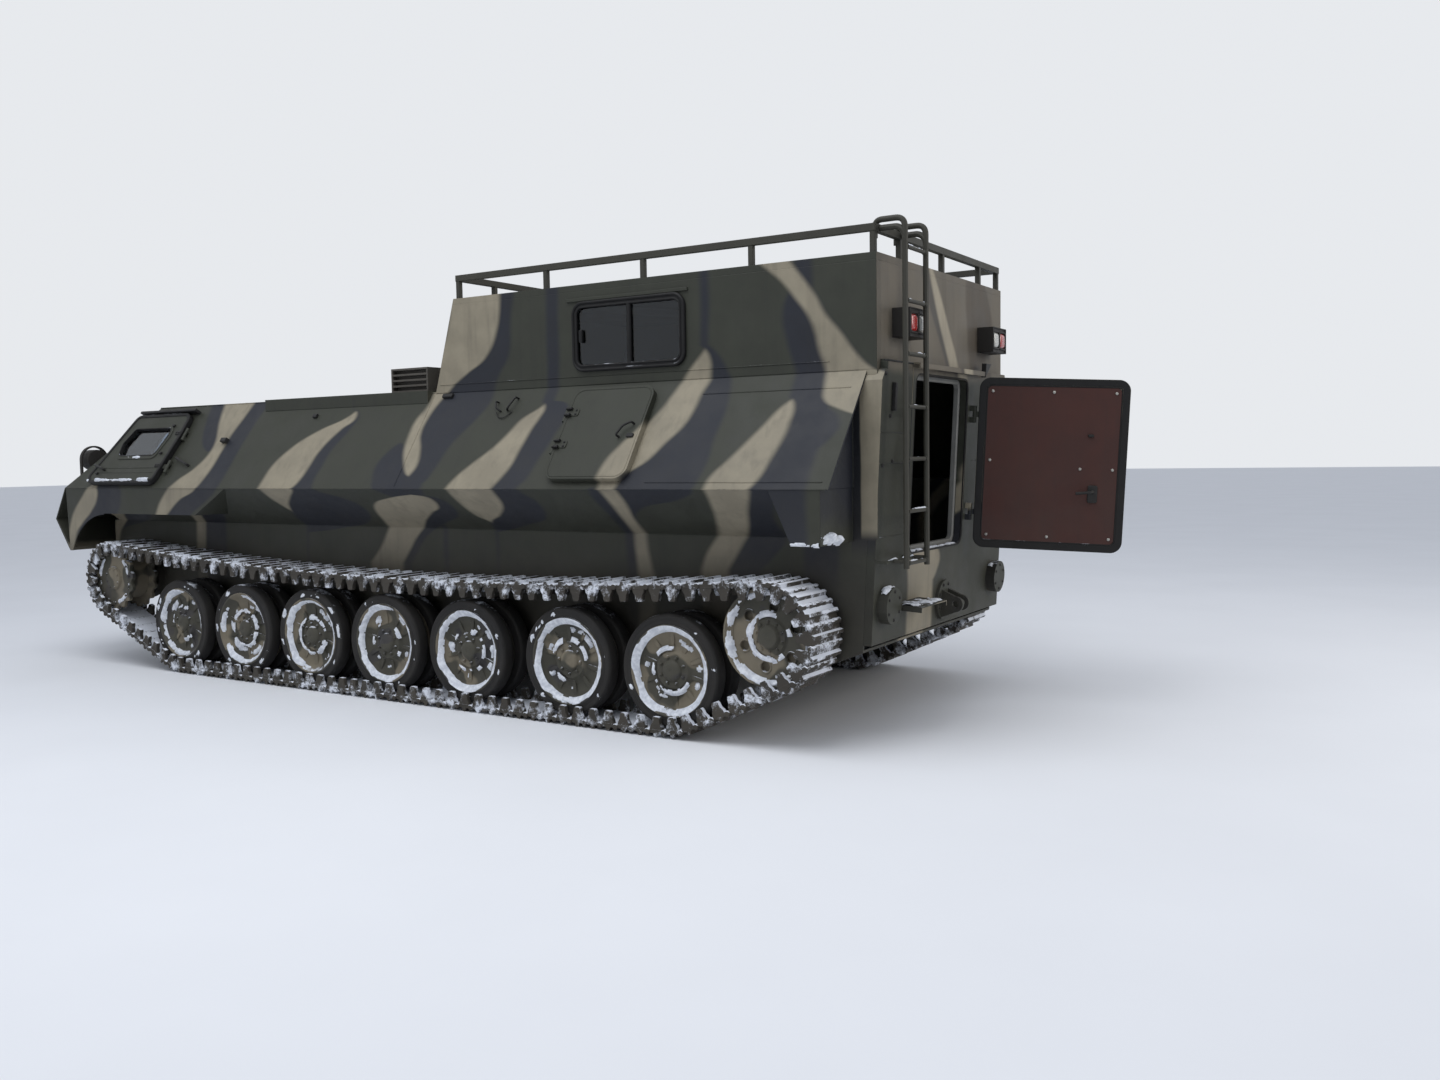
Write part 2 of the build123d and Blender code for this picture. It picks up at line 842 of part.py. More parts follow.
with BuildPart() as frame_left:
    with BuildSketch(Plane.XZ.offset(-cabin_half)):
        with Locations((at(window_station), window_z)):
            RectangleRounded(window_width + 2 * window_rim, window_height + 2 * window_rim, window_round + window_rim)
            RectangleRounded(
                window_width - 2 * window_lap,
                window_height - 2 * window_lap,
                window_round - window_lap,
                mode=Mode.SUBTRACT,
            )
        with Locations((at(divider_station), window_z)):
            Rectangle(window_divider, window_height)
    extrude(amount=-window_proud)

with BuildPart() as window_frames:
    add(frame_left.part)
    mirror(frame_left.part, about=Plane.XZ)
keep("window_frames", window_frames)

screen_lap = 15

with BuildPart() as pane_left:
    with BuildSketch(Plane.XZ.offset(-cabin_half)):
        with Locations((at(window_station), window_z)):
            RectangleRounded(window_width - 2 * pane_gap, window_height - 2 * pane_gap, window_round - pane_gap)
    extrude(amount=glass_thick)
    with BuildSketch(glacis_inner):
        with Locations((screen_middle, screen_up)):
            RectangleRounded(screen_width + 2 * screen_lap, screen_height + 2 * screen_lap, screen_round + screen_lap)
    extrude(amount=-glass_thick)

with BuildPart() as window_glass:
    add(pane_left.part)
    mirror(pane_left.part, about=Plane.XZ)
keep("window_glass", window_glass)

# Bulkheads ahead of and behind the engine, floors, seats and the engine itself

bulkhead_thick = 20
floor_z = 640
floor_thick = 20
cab_floor_front = 760
cabin_floor_end = hull_length - rear_plate_thick / cos(lean) - (belt_z - floor_z) * tan(lean) - 1
bench_front = 4500
bench_end = hull_length - 750
bench_depth = 400
bench_toe = 60
bench_z = 1030
cushion_thick = 80
seat_station = 1620
seat_y = 470
seat_size = 480
seat_z = 1000
seat_inset = 60
seat_cushion = 110
back_foot = 90
back_height = 560
back_thick = 110
back_rake = 100
dash_front = 620
dash_depth = 220
dash_shelf = 130
dash_face = 90
dash_foot = 175
dash_low_z = 1290
dash_high_z = 1460
engine_front = 2480
engine_end = 3880
engine_half = 420
engine_top_z = 1560


def inner_half(z):
    """Half the hull's inner width at a height above the belt."""
    return belt_half - (z - belt_z) * tan(side_lean) - armour / cos(side_lean)


with BuildPart() as bulkheads:
    for station in (deck_front, cabin_base_front):
        with BuildSketch(Plane(origin=(at(station), 0, 0), x_dir=(0, 1, 0), z_dir=(-1, 0, 0))):
            with BuildLine():
                outline = (
                    (tub_inner, tub_bottom_z + tub_plate),
                    (tub_inner, belt_z),
                    (inner_half(belt_z), belt_z),
                    (inner_half(crease_z), crease_z),
                )
                right = [(y, -z) for y, z in outline]
                Polyline(*right, *((-y, z) for y, z in reversed(right)), close=True)
            make_face()
        extrude(amount=bulkhead_thick)
keep("bulkheads", bulkheads)

with BuildPart() as floors:
    for front, end in ((cab_floor_front, deck_front), (cabin_base_front + bulkhead_thick, cabin_floor_end)):
        with BuildSketch(Plane.XY.offset(floor_z)):
            with Locations(((at(front) + at(end)) / 2, 0)):
                Rectangle(end - front, 2 * tub_inner)
        extrude(amount=floor_thick)
    for side in (1, -1):
        with BuildSketch(Plane.XY.offset(floor_z + floor_thick)):
            with Locations(((at(bench_front) + at(bench_end)) / 2, side * (tub_inner - bench_depth / 2))):
                Rectangle(bench_end - bench_front, bench_depth - bench_toe)
        extrude(amount=bench_z - floor_z - floor_thick)
keep("floors", floors)

with BuildPart() as seats:
    for side in (1, -1):
        with BuildSketch(Plane.XY.offset(bench_z)):
            with Locations(((at(bench_front) + at(bench_end)) / 2, side * (tub_inner - bench_depth / 2))):
                Rectangle(bench_end - bench_front, bench_depth)
        extrude(amount=cushion_thick)
        with BuildSketch(Plane.XY.offset(floor_z + floor_thick)):
            with Locations((at(seat_station), side * seat_y)):
                Rectangle(seat_size - 2 * seat_inset, seat_size - 2 * seat_inset)
        extrude(amount=seat_z - floor_z - floor_thick)
        with BuildSketch(Plane.XZ.offset(-side * seat_y)):
            with BuildLine():
                Polyline(
                    (at(seat_station - seat_size / 2), seat_z),
                    (at(seat_station - seat_size / 2), seat_z + seat_cushion),
                    (at(seat_station + seat_size / 2 - back_thick), seat_z + back_foot),
                    (at(seat_station + seat_size / 2), seat_z + back_height),
                    (at(seat_station + seat_size / 2 + back_rake), seat_z + back_height),
                    (at(seat_station + seat_size / 2), seat_z),
                    close=True,
                )
            make_face()
        extrude(amount=seat_size / 2, both=True)
keep("seats", seats)

with BuildPart() as dashboard:
    with BuildSketch(Plane.XZ):
        with BuildLine():
            Polyline(
                (at(dash_front), dash_low_z),
                (at(dash_front), dash_high_z),
                (at(dash_front + dash_shelf), dash_high_z),
                (at(dash_front + dash_depth), dash_high_z - dash_face),
                (at(dash_front + dash_foot), dash_low_z),
                close=True,
            )
        make_face()
    extrude(amount=tub_inner, both=True)
keep("dashboard", dashboard)

with BuildPart() as engine_block:
    with BuildSketch(Plane.XY.offset(tub_bottom_z + tub_plate)):
        with Locations(((at(engine_front) + at(engine_end)) / 2, 0)):
            Rectangle(engine_end - engine_front, 2 * engine_half)
    extrude(amount=engine_top_z - tub_bottom_z - tub_plate)
keep("engine_block", engine_block)

# Running gear

fit_gap = 0.3
pin_z = lug_out
wheel_z = pin_z + pin_inset + fit_gap + wheel_radius
wheel_outer = track_half + disc_gap / 2 + disc_width
rim_radius = wheel_radius - tyre_thick
sprocket_radius = pitch / (2 * sin(pi / sprocket_teeth))
wheel_sides = 16
hub_sides = 12
cap_sides = 8
rim_flange = 22
dish_foot = 175
hub_flange = 112
hub_rise = 28
hub_cap = 55
cap_rise = 22
inner_hub_radius = 112


def twin_disc(radius, dish):
    """Two dished discs on one hub, across the X axis, with the outer one's flange and cap."""
    with BuildPart() as discs:
        for face in (track_half + disc_gap / 2, wheel_inner):
            with BuildSketch(Plane.YZ.offset(face)):
                RegularPolygon(radius, wheel_sides)
            extrude(amount=disc_width)
        for face, inward in ((wheel_outer, -1), (wheel_inner, 1)):
            with BuildSketch(Plane.YZ.offset(face)):
                RegularPolygon(radius - rim_flange, wheel_sides)
            with BuildSketch(Plane.YZ.offset(face + inward * dish_depth)):
                RegularPolygon(dish, wheel_sides)
            loft(ruled=True, mode=Mode.SUBTRACT)
        with BuildSketch(Plane.YZ.offset(track_half - disc_gap / 2)):
            RegularPolygon(inner_hub_radius, hub_sides)
        extrude(amount=disc_gap)
        with BuildSketch(Plane.YZ.offset(wheel_outer - dish_depth)):
            RegularPolygon(hub_flange, hub_sides)
        extrude(amount=hub_rise)
        with BuildSketch(Plane.YZ.offset(wheel_outer - dish_depth + hub_rise)):
            RegularPolygon(hub_cap, cap_sides)
        extrude(amount=cap_rise)
    return discs.part


# Seven wheels a side, a little further apart before the sixth
wheel_span = hull_length - last_wheel_back - first_wheel - extra_wheel_gap
wheel_steps = int(wheel_span / least_wheel_step)
wheel_step = wheel_span / wheel_steps
wheel_stations = [
    first_wheel + wheel_step * step + (extra_wheel_gap if step > wheel_steps - 2 else 0)
    for step in range(wheel_steps + 1)
]


def placed(part, station, height):
    """A part that was turned about the X axis, set across the hull at a station."""
    return Pos(at(station), 0, height) * Rot(0, 0, 90) * part


with BuildPart() as wheel_metal:
    add(twin_disc(rim_radius, dish_foot))

with BuildPart() as wheel_rubber:
    for face in (track_half + disc_gap / 2, wheel_inner):
        with BuildSketch(Plane.YZ.offset(face)):
            RegularPolygon(wheel_radius, wheel_sides)
            RegularPolygon(rim_radius, wheel_sides, mode=Mode.SUBTRACT)
        extrude(amount=disc_width)

with BuildPart() as road_wheels_left:
    for station in wheel_stations:
        add(placed(wheel_metal.part, station, wheel_z))

with BuildPart() as tyres_left:
    for station in wheel_stations:
        add(placed(wheel_rubber.part, station, wheel_z))

with BuildPart() as road_wheels:
    add(road_wheels_left.part)
    mirror(road_wheels_left.part, about=Plane.XZ)
keep("road_wheels", road_wheels)

with BuildPart() as tyres:
    add(tyres_left.part)
    mirror(tyres_left.part, about=Plane.XZ)
keep("tyres", tyres)

# Sprockets: two toothed rings on a drum, which the track's links ride over

root_radius = 228
tip_radius = 258
ring_thick = 26
ring_spread = 110
drum_radius = 175
cap_radius = 95
cap_proud = 22


def tooth_points():
    """The outline of a toothed ring, four points a tooth."""
    points = []
    for tooth in range(sprocket_teeth):
        for turn, radius in ((-0.33, root_radius), (-0.14, tip_radius), (0.14, tip_radius), (0.33, root_radius)):
            angle = 2 * pi * (tooth + turn) / sprocket_teeth
            points.append((radius * cos(angle), radius * sin(angle)))
    return points


def sprocket_face(y):
    """The plane across the left sprocket's axle, looking outward from the hull."""
    return Plane(origin=(at(sprocket_station), y, sprocket_z), x_dir=(1, 0, 0), z_dir=(0, -1, 0))


with BuildPart() as sprocket_left:
    for face in (track_half + ring_spread, track_half - ring_spread + ring_thick):
        with BuildSketch(sprocket_face(face)):
            with BuildLine():
                Polyline(*tooth_points(), close=True)
            make_face()
        extrude(amount=ring_thick)
    for radius, face in ((drum_radius, track_half + ring_spread - 40), (cap_radius, track_half + ring_spread + cap_proud)):
        with BuildSketch(sprocket_face(face)):
            RegularPolygon(radius, wheel_sides)
        extrude(amount=face - drive_face)

with BuildPart() as sprockets:
    add(sprocket_left.part)
    mirror(sprocket_left.part, about=Plane.XZ)
keep("sprockets", sprockets)

# Idlers: twin dished discs with lightening holes

idler_radius = idler_pin_radius - pin_inset - fit_gap
idler_holes = 6
idler_hole_radius = 33
idler_hole_ring = 168
idler_dish = 225

with BuildPart() as idler_metal:
    add(twin_disc(idler_radius, idler_dish))
    with BuildSketch(Plane.YZ.offset(wheel_inner)):
        with PolarLocations(idler_hole_ring, idler_holes):
            RegularPolygon(idler_hole_radius, cap_sides)
    extrude(amount=wheel_outer - wheel_inner, mode=Mode.SUBTRACT)

with BuildPart() as idlers:
    add(placed(idler_metal.part, idler_station, idler_z))
    mirror(placed(idler_metal.part, idler_station, idler_z), about=Plane.XZ)
keep("idlers", idlers)

# Suspension arms, each from a pivot on the tub back to a wheel's hub

arm_lead = 300
pivot_z = 560
pivot_boss = 80
pivot_step = 15
pivot_cap = 8
axle_boss = 62
swing_arm_thick = 50
arm_face = wheel_inner - 15

with BuildPart() as arms_left:
    for station in wheel_stations:
        pivot = (at(station - arm_lead), pivot_z)
        axle = (at(station), wheel_z)
        with BuildSketch(Plane.XZ.offset(-arm_face)):
            with Locations(pivot):
                RegularPolygon(pivot_boss, hub_sides)
            with Locations(axle):
                RegularPolygon(axle_boss, hub_sides)
            make_hull()
        extrude(amount=swing_arm_thick)
        for place, radius, near, far in (
            (pivot, pivot_boss - pivot_step, tub_half, arm_face + pivot_cap),
            (axle, axle_radius, arm_face - swing_arm_thick, wheel_inner + dish_depth),
        ):
            with BuildSketch(Plane.XZ.offset(-far)):
                with Locations(place):
                    RegularPolygon(radius, cap_sides)
            extrude(amount=far - near)

with BuildPart() as suspension_arms:
    add(arms_left.part)
    mirror(arms_left.part, about=Plane.XZ)
keep("suspension_arms", suspension_arms)

# Tracks: a closed loop round the sprocket, the idler and the wheels, with a sagging top run

wheel_round = wheel_radius + pin_inset + fit_gap
sprocket_circle = (at(sprocket_station), sprocket_z, sprocket_radius)
idler_circle = (at(idler_station), idler_z, idler_pin_radius)
last_circle = (at(wheel_stations[-1]), wheel_z, wheel_round)
first_circle = (at(wheel_stations[0]), wheel_z, wheel_round)


def heading(start, end):
    """The angle and length of the line between two circles' centres."""
    return atan2(end[1] - start[1], end[0] - start[0]), hypot(end[0] - start[0], end[1] - start[1])


def tangent(start, end):
    """The outward angle of the straight run from one circle to the next."""
    angle, length = heading(start, end)
    return angle - acos((start[2] - end[2]) / length)


def corner_angle(near, far, across):
    """The angle between two sides of a triangle, from the three lengths."""
    return acos((near**2 + across**2 - far**2) / (2 * near * across))


sprocket_arm = sag_radius + sprocket_radius
idler_arm = sag_radius + idler_pin_radius
back, span = heading(sprocket_circle, idler_circle)
back = back % (2 * pi)
leave_sprocket = back - corner_angle(sprocket_arm, idler_arm, span)
meet_idler = back - pi + corner_angle(idler_arm, sprocket_arm, span)
sag_circle = (
    sprocket_circle[0] + sprocket_arm * cos(leave_sprocket),
    sprocket_circle[1] + sprocket_arm * sin(leave_sprocket),
    -sag_radius,
)
leave_idler = tangent(idler_circle, last_circle)
leave_first = tangent(first_circle, sprocket_circle)

# Each round: its circle, and the outward angles where the track meets and leaves it
rounds = (
    (sprocket_circle, leave_first, leave_sprocket),
    (sag_circle, leave_sprocket, meet_idler),
    (idler_circle, meet_idler, leave_idler % (2 * pi)),
    (last_circle, leave_idler, -pi / 2),
    (first_circle, -pi / 2, leave_first),
)


def on_round(circle, angle, out):
    """A point on a circle moved outward from the pin line."""
    return (circle[0] + (circle[2] + out) * cos(angle), circle[1] + (circle[2] + out) * sin(angle))


def runs():
    """The pin line's runs in order: start, end, length, and the circle with its two angles, if it has one."""
    found = []
    previous = on_round(first_circle, leave_first, 0)
    for circle, meet, leave in rounds:
        start = on_round(circle, meet, 0)
        end = on_round(circle, leave, 0)
        found.append((previous, start, hypot(start[0] - previous[0], start[1] - previous[1]), None, meet, meet))
        found.append((start, end, abs(circle[2] * (leave - meet)), circle, meet, leave))
        previous = end
    return found


def on_pin_line(distance, out):
    """A point at a distance along the pin line, moved outward from it."""
    for start, end, length, circle, meet, leave in pin_runs:
        if distance <= length:
            break
        distance -= length
    if circle:
        return on_round(circle, meet + (leave - meet) * distance / length, out)
    share = distance / length if length else 0
    return (
        start[0] + (end[0] - start[0]) * share + out * cos(meet),
        start[1] + (end[1] - start[1]) * share + out * sin(meet),
    )


def shoe_points():
    """The track's outside: a cleat on every shoe, as a root and a tip."""
    points = []
    for shoe in range(shoe_count):
        for share, out in ((0, shoe_root), (cleat_share, lug_out)):
            points.append(on_pin_line(pin_line * (shoe + share) / shoe_count, out))
    return points


def inside_points():
    """The track's inside, in straight runs that stay clear of what it runs round."""
    points = []
    for circle, meet, leave in rounds:
        sweep = abs(leave - meet)
        steps = 1 + int(max(sweep / inside_turn, sweep * abs(circle[2]) / inside_run))
        half = (leave - meet) / steps / 2
        for step in range(steps):
            middle = meet + half * (2 * step + 1)
            reach = (circle[2] - pin_inset) / cos(half) - circle[2]
            points.append(on_round(circle, middle, reach))
        points.append(on_round(circle, leave, -pin_inset))
    return points


def loop_sketch(face, points):
    """A closed outline across the track, filled."""
    with BuildSketch(Plane.XZ.offset(-face)) as outline:
        with BuildLine():
            Polyline(*points, close=True)
        make_face()
    return outline.sketch


pin_runs = runs()
pin_line = sum(run[2] for run in pin_runs)
shoe_count = round(pin_line / pitch)
shoe_root = 8
cleat_share = 0.35
inside_turn = 0.36
inside_run = 900
track_face = track_half + track_width / 2

with BuildPart() as track_left:
    extrude(loop_sketch(track_face, shoe_points()), amount=track_width)
    extrude(loop_sketch(track_face, inside_points()), amount=track_width, mode=Mode.SUBTRACT)
keep("track_left", track_left)

with BuildPart() as track_right:
    mirror(track_left.part, about=Plane.XZ)
keep("track_right", track_right)

# Rear door, stored open, and the lining on its inside

door_plane = moved(rear_plane, Pos(-hinge_y, 0, hinge_reach) * Rot(0, leaf_open, 0))
leaf_middle = -(leaf_edge + leaf_width / 2)
door_rim = 48
door_recess = 14
panel_corner = 40
lining_gap = 2

with BuildPart() as rear_door:
    with BuildSketch(door_plane.offset(leaf_thick / 2)):
        with Locations((leaf_middle, leaf_middle_up)):
            RectangleRounded(leaf_width, leaf_height, leaf_corner)
    extrude(amount=-leaf_thick)
    with BuildSketch(door_plane.offset(-leaf_thick / 2)):
        with Locations((leaf_middle, leaf_middle_up)):
            RectangleRounded(leaf_width - 2 * door_rim, leaf_height - 2 * door_rim, panel_corner)
    extrude(amount=door_recess, mode=Mode.SUBTRACT)
    for up in rear_hinges:
        add(moving_half(moved(door_plane, Pos(0, up, 0)), -1, leaf_edge, 0))
keep("rear_door", rear_door)

with BuildPart() as rear_door_lining:
    with BuildSketch(door_plane.offset(door_recess - leaf_thick / 2)):
        with Locations((leaf_middle, leaf_middle_up)):
            RectangleRounded(
                leaf_width - 2 * door_rim - 2 * lining_gap,
                leaf_height - 2 * door_rim - 2 * lining_gap,
                panel_corner - lining_gap,
            )
    extrude(amount=-door_recess)
keep("rear_door_lining", rear_door_lining)

# Side hatches and cab doors, each with its middle knuckles; the cab doors have a window

cab_window_outline = ((805, 277), (775, 400), (850, 545), (1345, 545), (1345, 460), (1290, 277))
cab_window_round = 50
cab_frame_width = 27
cab_frame_rise = 6
cab_glass_low = 12
leaf_rise = hinge_height - leaf_seat - door_thick / 2


def cab_window_sketch(height, grown=0):
    """The cab door's window at a height above the side plate, drawn out from its edge."""
    with BuildSketch(side_plane.offset(height)) as outline:
        with BuildLine():
            Polyline(*cab_window_outline, close=True)
        make_face()
        fillet(outline.vertices(), cab_window_round)
        if grown:
            offset(amount=grown, mode=Mode.REPLACE)
    return outline.sketch


with BuildPart() as side_hatch_left:
    extrude(hatch_sketch(0, leaf_seat), amount=door_thick)
    for up in hatch_hinges:
        add(moving_half(moved(side_plane, Pos(hatch_pin, up, hinge_height)), 1, hinge_edge, leaf_rise))
keep("side_hatch_left", side_hatch_left)

with BuildPart() as side_hatch_right:
    mirror(side_hatch_left.part, about=Plane.XZ)
keep("side_hatch_right", side_hatch_right)

with BuildPart() as cab_door_left:
    extrude(cab_door_sketch(0, leaf_seat), amount=door_thick)
    extrude(cab_window_sketch(leaf_seat + door_thick, cab_frame_width), amount=cab_frame_rise)
    extrude(cab_window_sketch(0), amount=2 * door_thick, mode=Mode.SUBTRACT)
    for up in cab_hinges:
        arm = cab_pin - cab_door_edge(up)
        add(moving_half(moved(side_plane, Pos(cab_pin, up, hinge_height)), -1, arm, leaf_rise))
keep("cab_door_left", cab_door_left)

with BuildPart() as cab_door_right:
    mirror(cab_door_left.part, about=Plane.XZ)
keep("cab_door_right", cab_door_right)

with BuildPart() as cab_door_glass_left:
    extrude(cab_window_sketch(cab_glass_low), amount=glass_thick)
keep("cab_door_glass_left", cab_door_glass_left)

with BuildPart() as cab_door_glass_right:
    mirror(cab_door_glass_left.part, about=Plane.XZ)
keep("cab_door_glass_right", cab_door_glass_right)

# Headlamps on the glacis, each on a foot

headlamp_y = 1220
headlamp_up = 235
headlamp_radius = 85
headlamp_depth = 110
headlamp_lift = 105
headlamp_foot = 34
guard_radius = 112
guard_bar = 14
guard_depth = 28

with BuildPart() as headlamps:
    for side in (1, -1):
        foot = moved(glacis_plane, Pos(side * headlamp_y, headlamp_up, 0))
        with BuildSketch(foot):
            Circle(headlamp_foot)
        extrude(amount=headlamp_lift)
        centre = foot.origin + foot.z_dir * headlamp_lift
        with BuildSketch(Plane(origin=(centre.X - headlamp_depth / 2, centre.Y, centre.Z), z_dir=(1, 0, 0))):
            Circle(headlamp_radius)
        extrude(amount=headlamp_depth)
        guard = Plane(origin=(centre.X - guard_depth / 2, centre.Y, centre.Z), x_dir=(0, 1, 0), z_dir=(1, 0, 0))
        with BuildSketch(guard):
            for reach, mode in ((guard_radius + guard_bar / 2, Mode.ADD), (guard_radius - guard_bar / 2, Mode.SUBTRACT)):
                Circle(reach, mode=mode)
                with Locations((0, -guard_radius)):
                    Rectangle(2 * reach, 2 * guard_radius, mode=mode)
        extrude(amount=guard_depth)
    split(bisect_by=glacis_plane, keep=Keep.TOP)
keep("headlamps", headlamps)

# Tail lamps: hooded boxes on brackets behind the cabin's rear wall

lamp_y = 680
lamp_z = 2350
lamp_width = 240
lamp_height = 150
lamp_depth = 70
lamp_face = hull_length + 90
hood_wall = 6
hood_overhang = 8

with BuildPart() as tail_lamps:
    for side in (1, -1):
        with BuildSketch(Plane(origin=(at(lamp_face), 0, 0), x_dir=(0, 1, 0), z_dir=(1, 0, 0))):
            with Locations((side * lamp_y, lamp_z)):
                Rectangle(lamp_width, lamp_height)
        extrude(amount=lamp_face - cabin_rear)
        with BuildSketch(Plane(origin=(at(lamp_face), 0, 0), x_dir=(0, 1, 0), z_dir=(-1, 0, 0))):
            with Locations((side * lamp_y, -lamp_z)):
                Rectangle(lamp_width + 2 * hood_wall, lamp_height + 2 * hood_wall)
                Rectangle(lamp_width, lamp_height, mode=Mode.SUBTRACT)
        extrude(amount=hood_overhang)
        with BuildSketch(Plane(origin=(at(lamp_face), 0, 0), x_dir=(0, 1, 0), z_dir=(1, 0, 0))):
            with Locations((side * lamp_y, lamp_z)):
                Rectangle(lamp_width + 2 * hood_wall, lamp_height + 2 * hood_wall)
        extrude(amount=lamp_face - cabin_rear)
keep("tail_lamps", tail_lamps)

# Roof rack: a rail round the cabin roof on posts

rack_half = cabin_half - 5
rack_front = cabin_roof_front + 20
rack_rear = cabin_rear - 10
rail_width = 35
rail_high = 40
post_size = 30
posts_a_side = 5
rear_post_ys = (-640, 0, 640)

with BuildPart() as roof_rack:
    with BuildSketch(Plane.XY.offset(rail_top_z - rail_high)):
        with Locations(((at(rack_front) + at(rack_rear)) / 2, 0)):
            Rectangle(rack_rear - rack_front, 2 * rack_half)
            Rectangle(rack_rear - rack_front - 2 * rail_width, 2 * rack_half - 2 * rail_width, mode=Mode.SUBTRACT)
    extrude(amount=rail_high)
    with BuildSketch(Plane.XY.offset(cabin_top_z)):
        post_step = (rack_rear - rack_front - rail_width) / (posts_a_side - 1)
        with Locations(((at(rack_front) + at(rack_rear)) / 2, 0)):
            with GridLocations(post_step, 2 * rack_half - rail_width, posts_a_side, 2):
                Rectangle(post_size, post_size)
        for y in rear_post_ys:
            with Locations((at(rack_front + rail_width / 2), y), (at(rack_rear - rail_width / 2), y)):
                Rectangle(post_size, post_size)
    extrude(amount=rail_top_z - rail_high - cabin_top_z)
keep("roof_rack", roof_rack)

# Ladder on the left of the rear: two stiles that hook over the rack's rail, and seven rungs

ladder_station = hull_length + 125
stile_ys = (645, 935)
stile_radius = 17
rung_radius = 12
ladder_foot_z = 990
rung_low_z = 1018
rung_step = 287
rung_count = 7
ladder_bend = 60
foot_gap = 1

with BuildPart() as ladder:
    for y in stile_ys:
        with BuildLine() as route:
            top_z = rail_top_z - rail_high / 2
            FilletPolyline(
                (at(ladder_station), y, ladder_foot_z),
                (at(ladder_station), y, top_z),
                (at(rack_rear), y, top_z),
                radius=ladder_bend,
            )
        with BuildSketch(Plane(origin=route.line @ 0, z_dir=route.line % 0)):
            RegularPolygon(stile_radius, cap_sides)
        sweep(path=route.line)
    for rung in range(rung_count):
        with BuildSketch(Plane.XZ.offset(-stile_ys[1])):
            with Locations((at(ladder_station), rung_low_z + rung * rung_step)):
                RegularPolygon(rung_radius, cap_sides)
        extrude(amount=stile_ys[1] - stile_ys[0])
    for y in stile_ys:
        with BuildSketch(Plane(origin=(at(ladder_station), y, ledge_z), z_dir=(1, 0, 0))):
            RegularPolygon(rung_radius, cap_sides)
        extrude(amount=rear_face(ledge_z) - ledge_reach - at(ladder_station) - foot_gap)
keep("ladder", ladder)

for name, piece in pieces.items():
    export_step(piece, f"parts/{name}.step")
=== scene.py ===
# %% [markdown]
# A tracked carrier in winter paint, dressed for looks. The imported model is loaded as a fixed
# frame: its plates keep their shapes and get real finishes here, and the parts that a plain
# solid can't show well, such as the track's links or the seats, are built again in full.

# %% Load the frame
import bmesh
import bpy
import math
import random
from mathutils import Matrix, Vector, noise


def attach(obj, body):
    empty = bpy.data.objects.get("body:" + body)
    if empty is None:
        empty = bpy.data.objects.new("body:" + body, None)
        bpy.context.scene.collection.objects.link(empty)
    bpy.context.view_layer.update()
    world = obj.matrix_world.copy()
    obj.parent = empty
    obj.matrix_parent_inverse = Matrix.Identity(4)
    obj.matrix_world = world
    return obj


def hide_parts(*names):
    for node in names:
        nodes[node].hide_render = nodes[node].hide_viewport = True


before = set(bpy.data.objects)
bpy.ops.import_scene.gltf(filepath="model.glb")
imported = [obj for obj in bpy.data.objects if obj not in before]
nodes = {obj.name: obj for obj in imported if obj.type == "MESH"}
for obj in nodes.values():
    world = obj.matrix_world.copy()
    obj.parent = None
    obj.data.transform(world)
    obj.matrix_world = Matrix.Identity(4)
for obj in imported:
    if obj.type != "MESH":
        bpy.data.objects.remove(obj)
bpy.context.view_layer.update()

# %% [markdown]
# The sizes that the new pieces share with the solids, in metres. A station is a distance back
# from the nose edge, which is how a hull is measured in a yard.

# %% Sizes
front_x = 4.198765
rear_x = -3.251235
sill_half, sill_z = 1.030, 1.155
belt_half, belt_z = 1.425, 1.440
crease_half, crease_z = 1.005, 2.085
side_lean = math.atan2(belt_half - crease_half, crease_z - belt_z)
rear_lean = math.radians(3.0)
cabin_half = 1.010
tub_inner_half = 1.016
flanks = {"left": 1, "right": -1}


def at(station):
    return front_x - station


print("side plates lean", round(math.degrees(side_lean), 1), "degrees")

# %% [markdown]
# The camera stands behind the left rear corner at a person's eye height. A 30 mm lens on a
# full frame gives the photograph's wide view. Three angles say where it looks.

# %% Camera
scene = bpy.context.scene
scene.view_settings.view_transform = "Standard"

eye = Vector((-5.997, 7.043, 1.634))
yaw, pitch, roll = (math.radians(angle) for angle in (-57.92, -4.08, -0.93))
ahead = Vector((math.cos(pitch) * math.cos(yaw), math.cos(pitch) * math.sin(yaw), math.sin(pitch)))
right = ahead.cross(Vector((0, 0, 1))).normalized()
up = right.cross(ahead)
right, up = math.cos(roll) * right + math.sin(roll) * up, math.cos(roll) * up - math.sin(roll) * right
turn = Matrix((right, up, -ahead)).transposed().to_4x4()

lens = bpy.data.cameras.new("eye_height")
lens.lens, lens.sensor_width, lens.clip_end = 30.0, 36.0, 200.0
camera = bpy.data.objects.new("camera", lens)
camera.matrix_world = Matrix.Translation(eye) @ turn
scene.collection.objects.link(camera)
scene.camera = camera
print("camera looks at", [round(v, 3) for v in ahead])

# %% [markdown]
# A shader tree is easier to read as sums than as boxes and wires, so a few short helpers make
# the nodes: each takes sockets or plain numbers and hands back the socket of its result.

# %% Node helpers
def feed(tree, socket, value):
    """Wire a socket to a value, or set it when the value is a plain number or colour."""
    if isinstance(value, bpy.types.NodeSocket):
        tree.links.new(value, socket)
    else:
        socket.default_value = value


def make(tree, kind, settings, **inputs):
    """A node with its settings, and its inputs fed by name."""
    made = tree.nodes.new("ShaderNode" + kind)
    for name, value in settings.items():
        setattr(made, name, value)
    for name, value in inputs.items():
        feed(tree, made.inputs[name.replace("_", " ")], value)
    return made


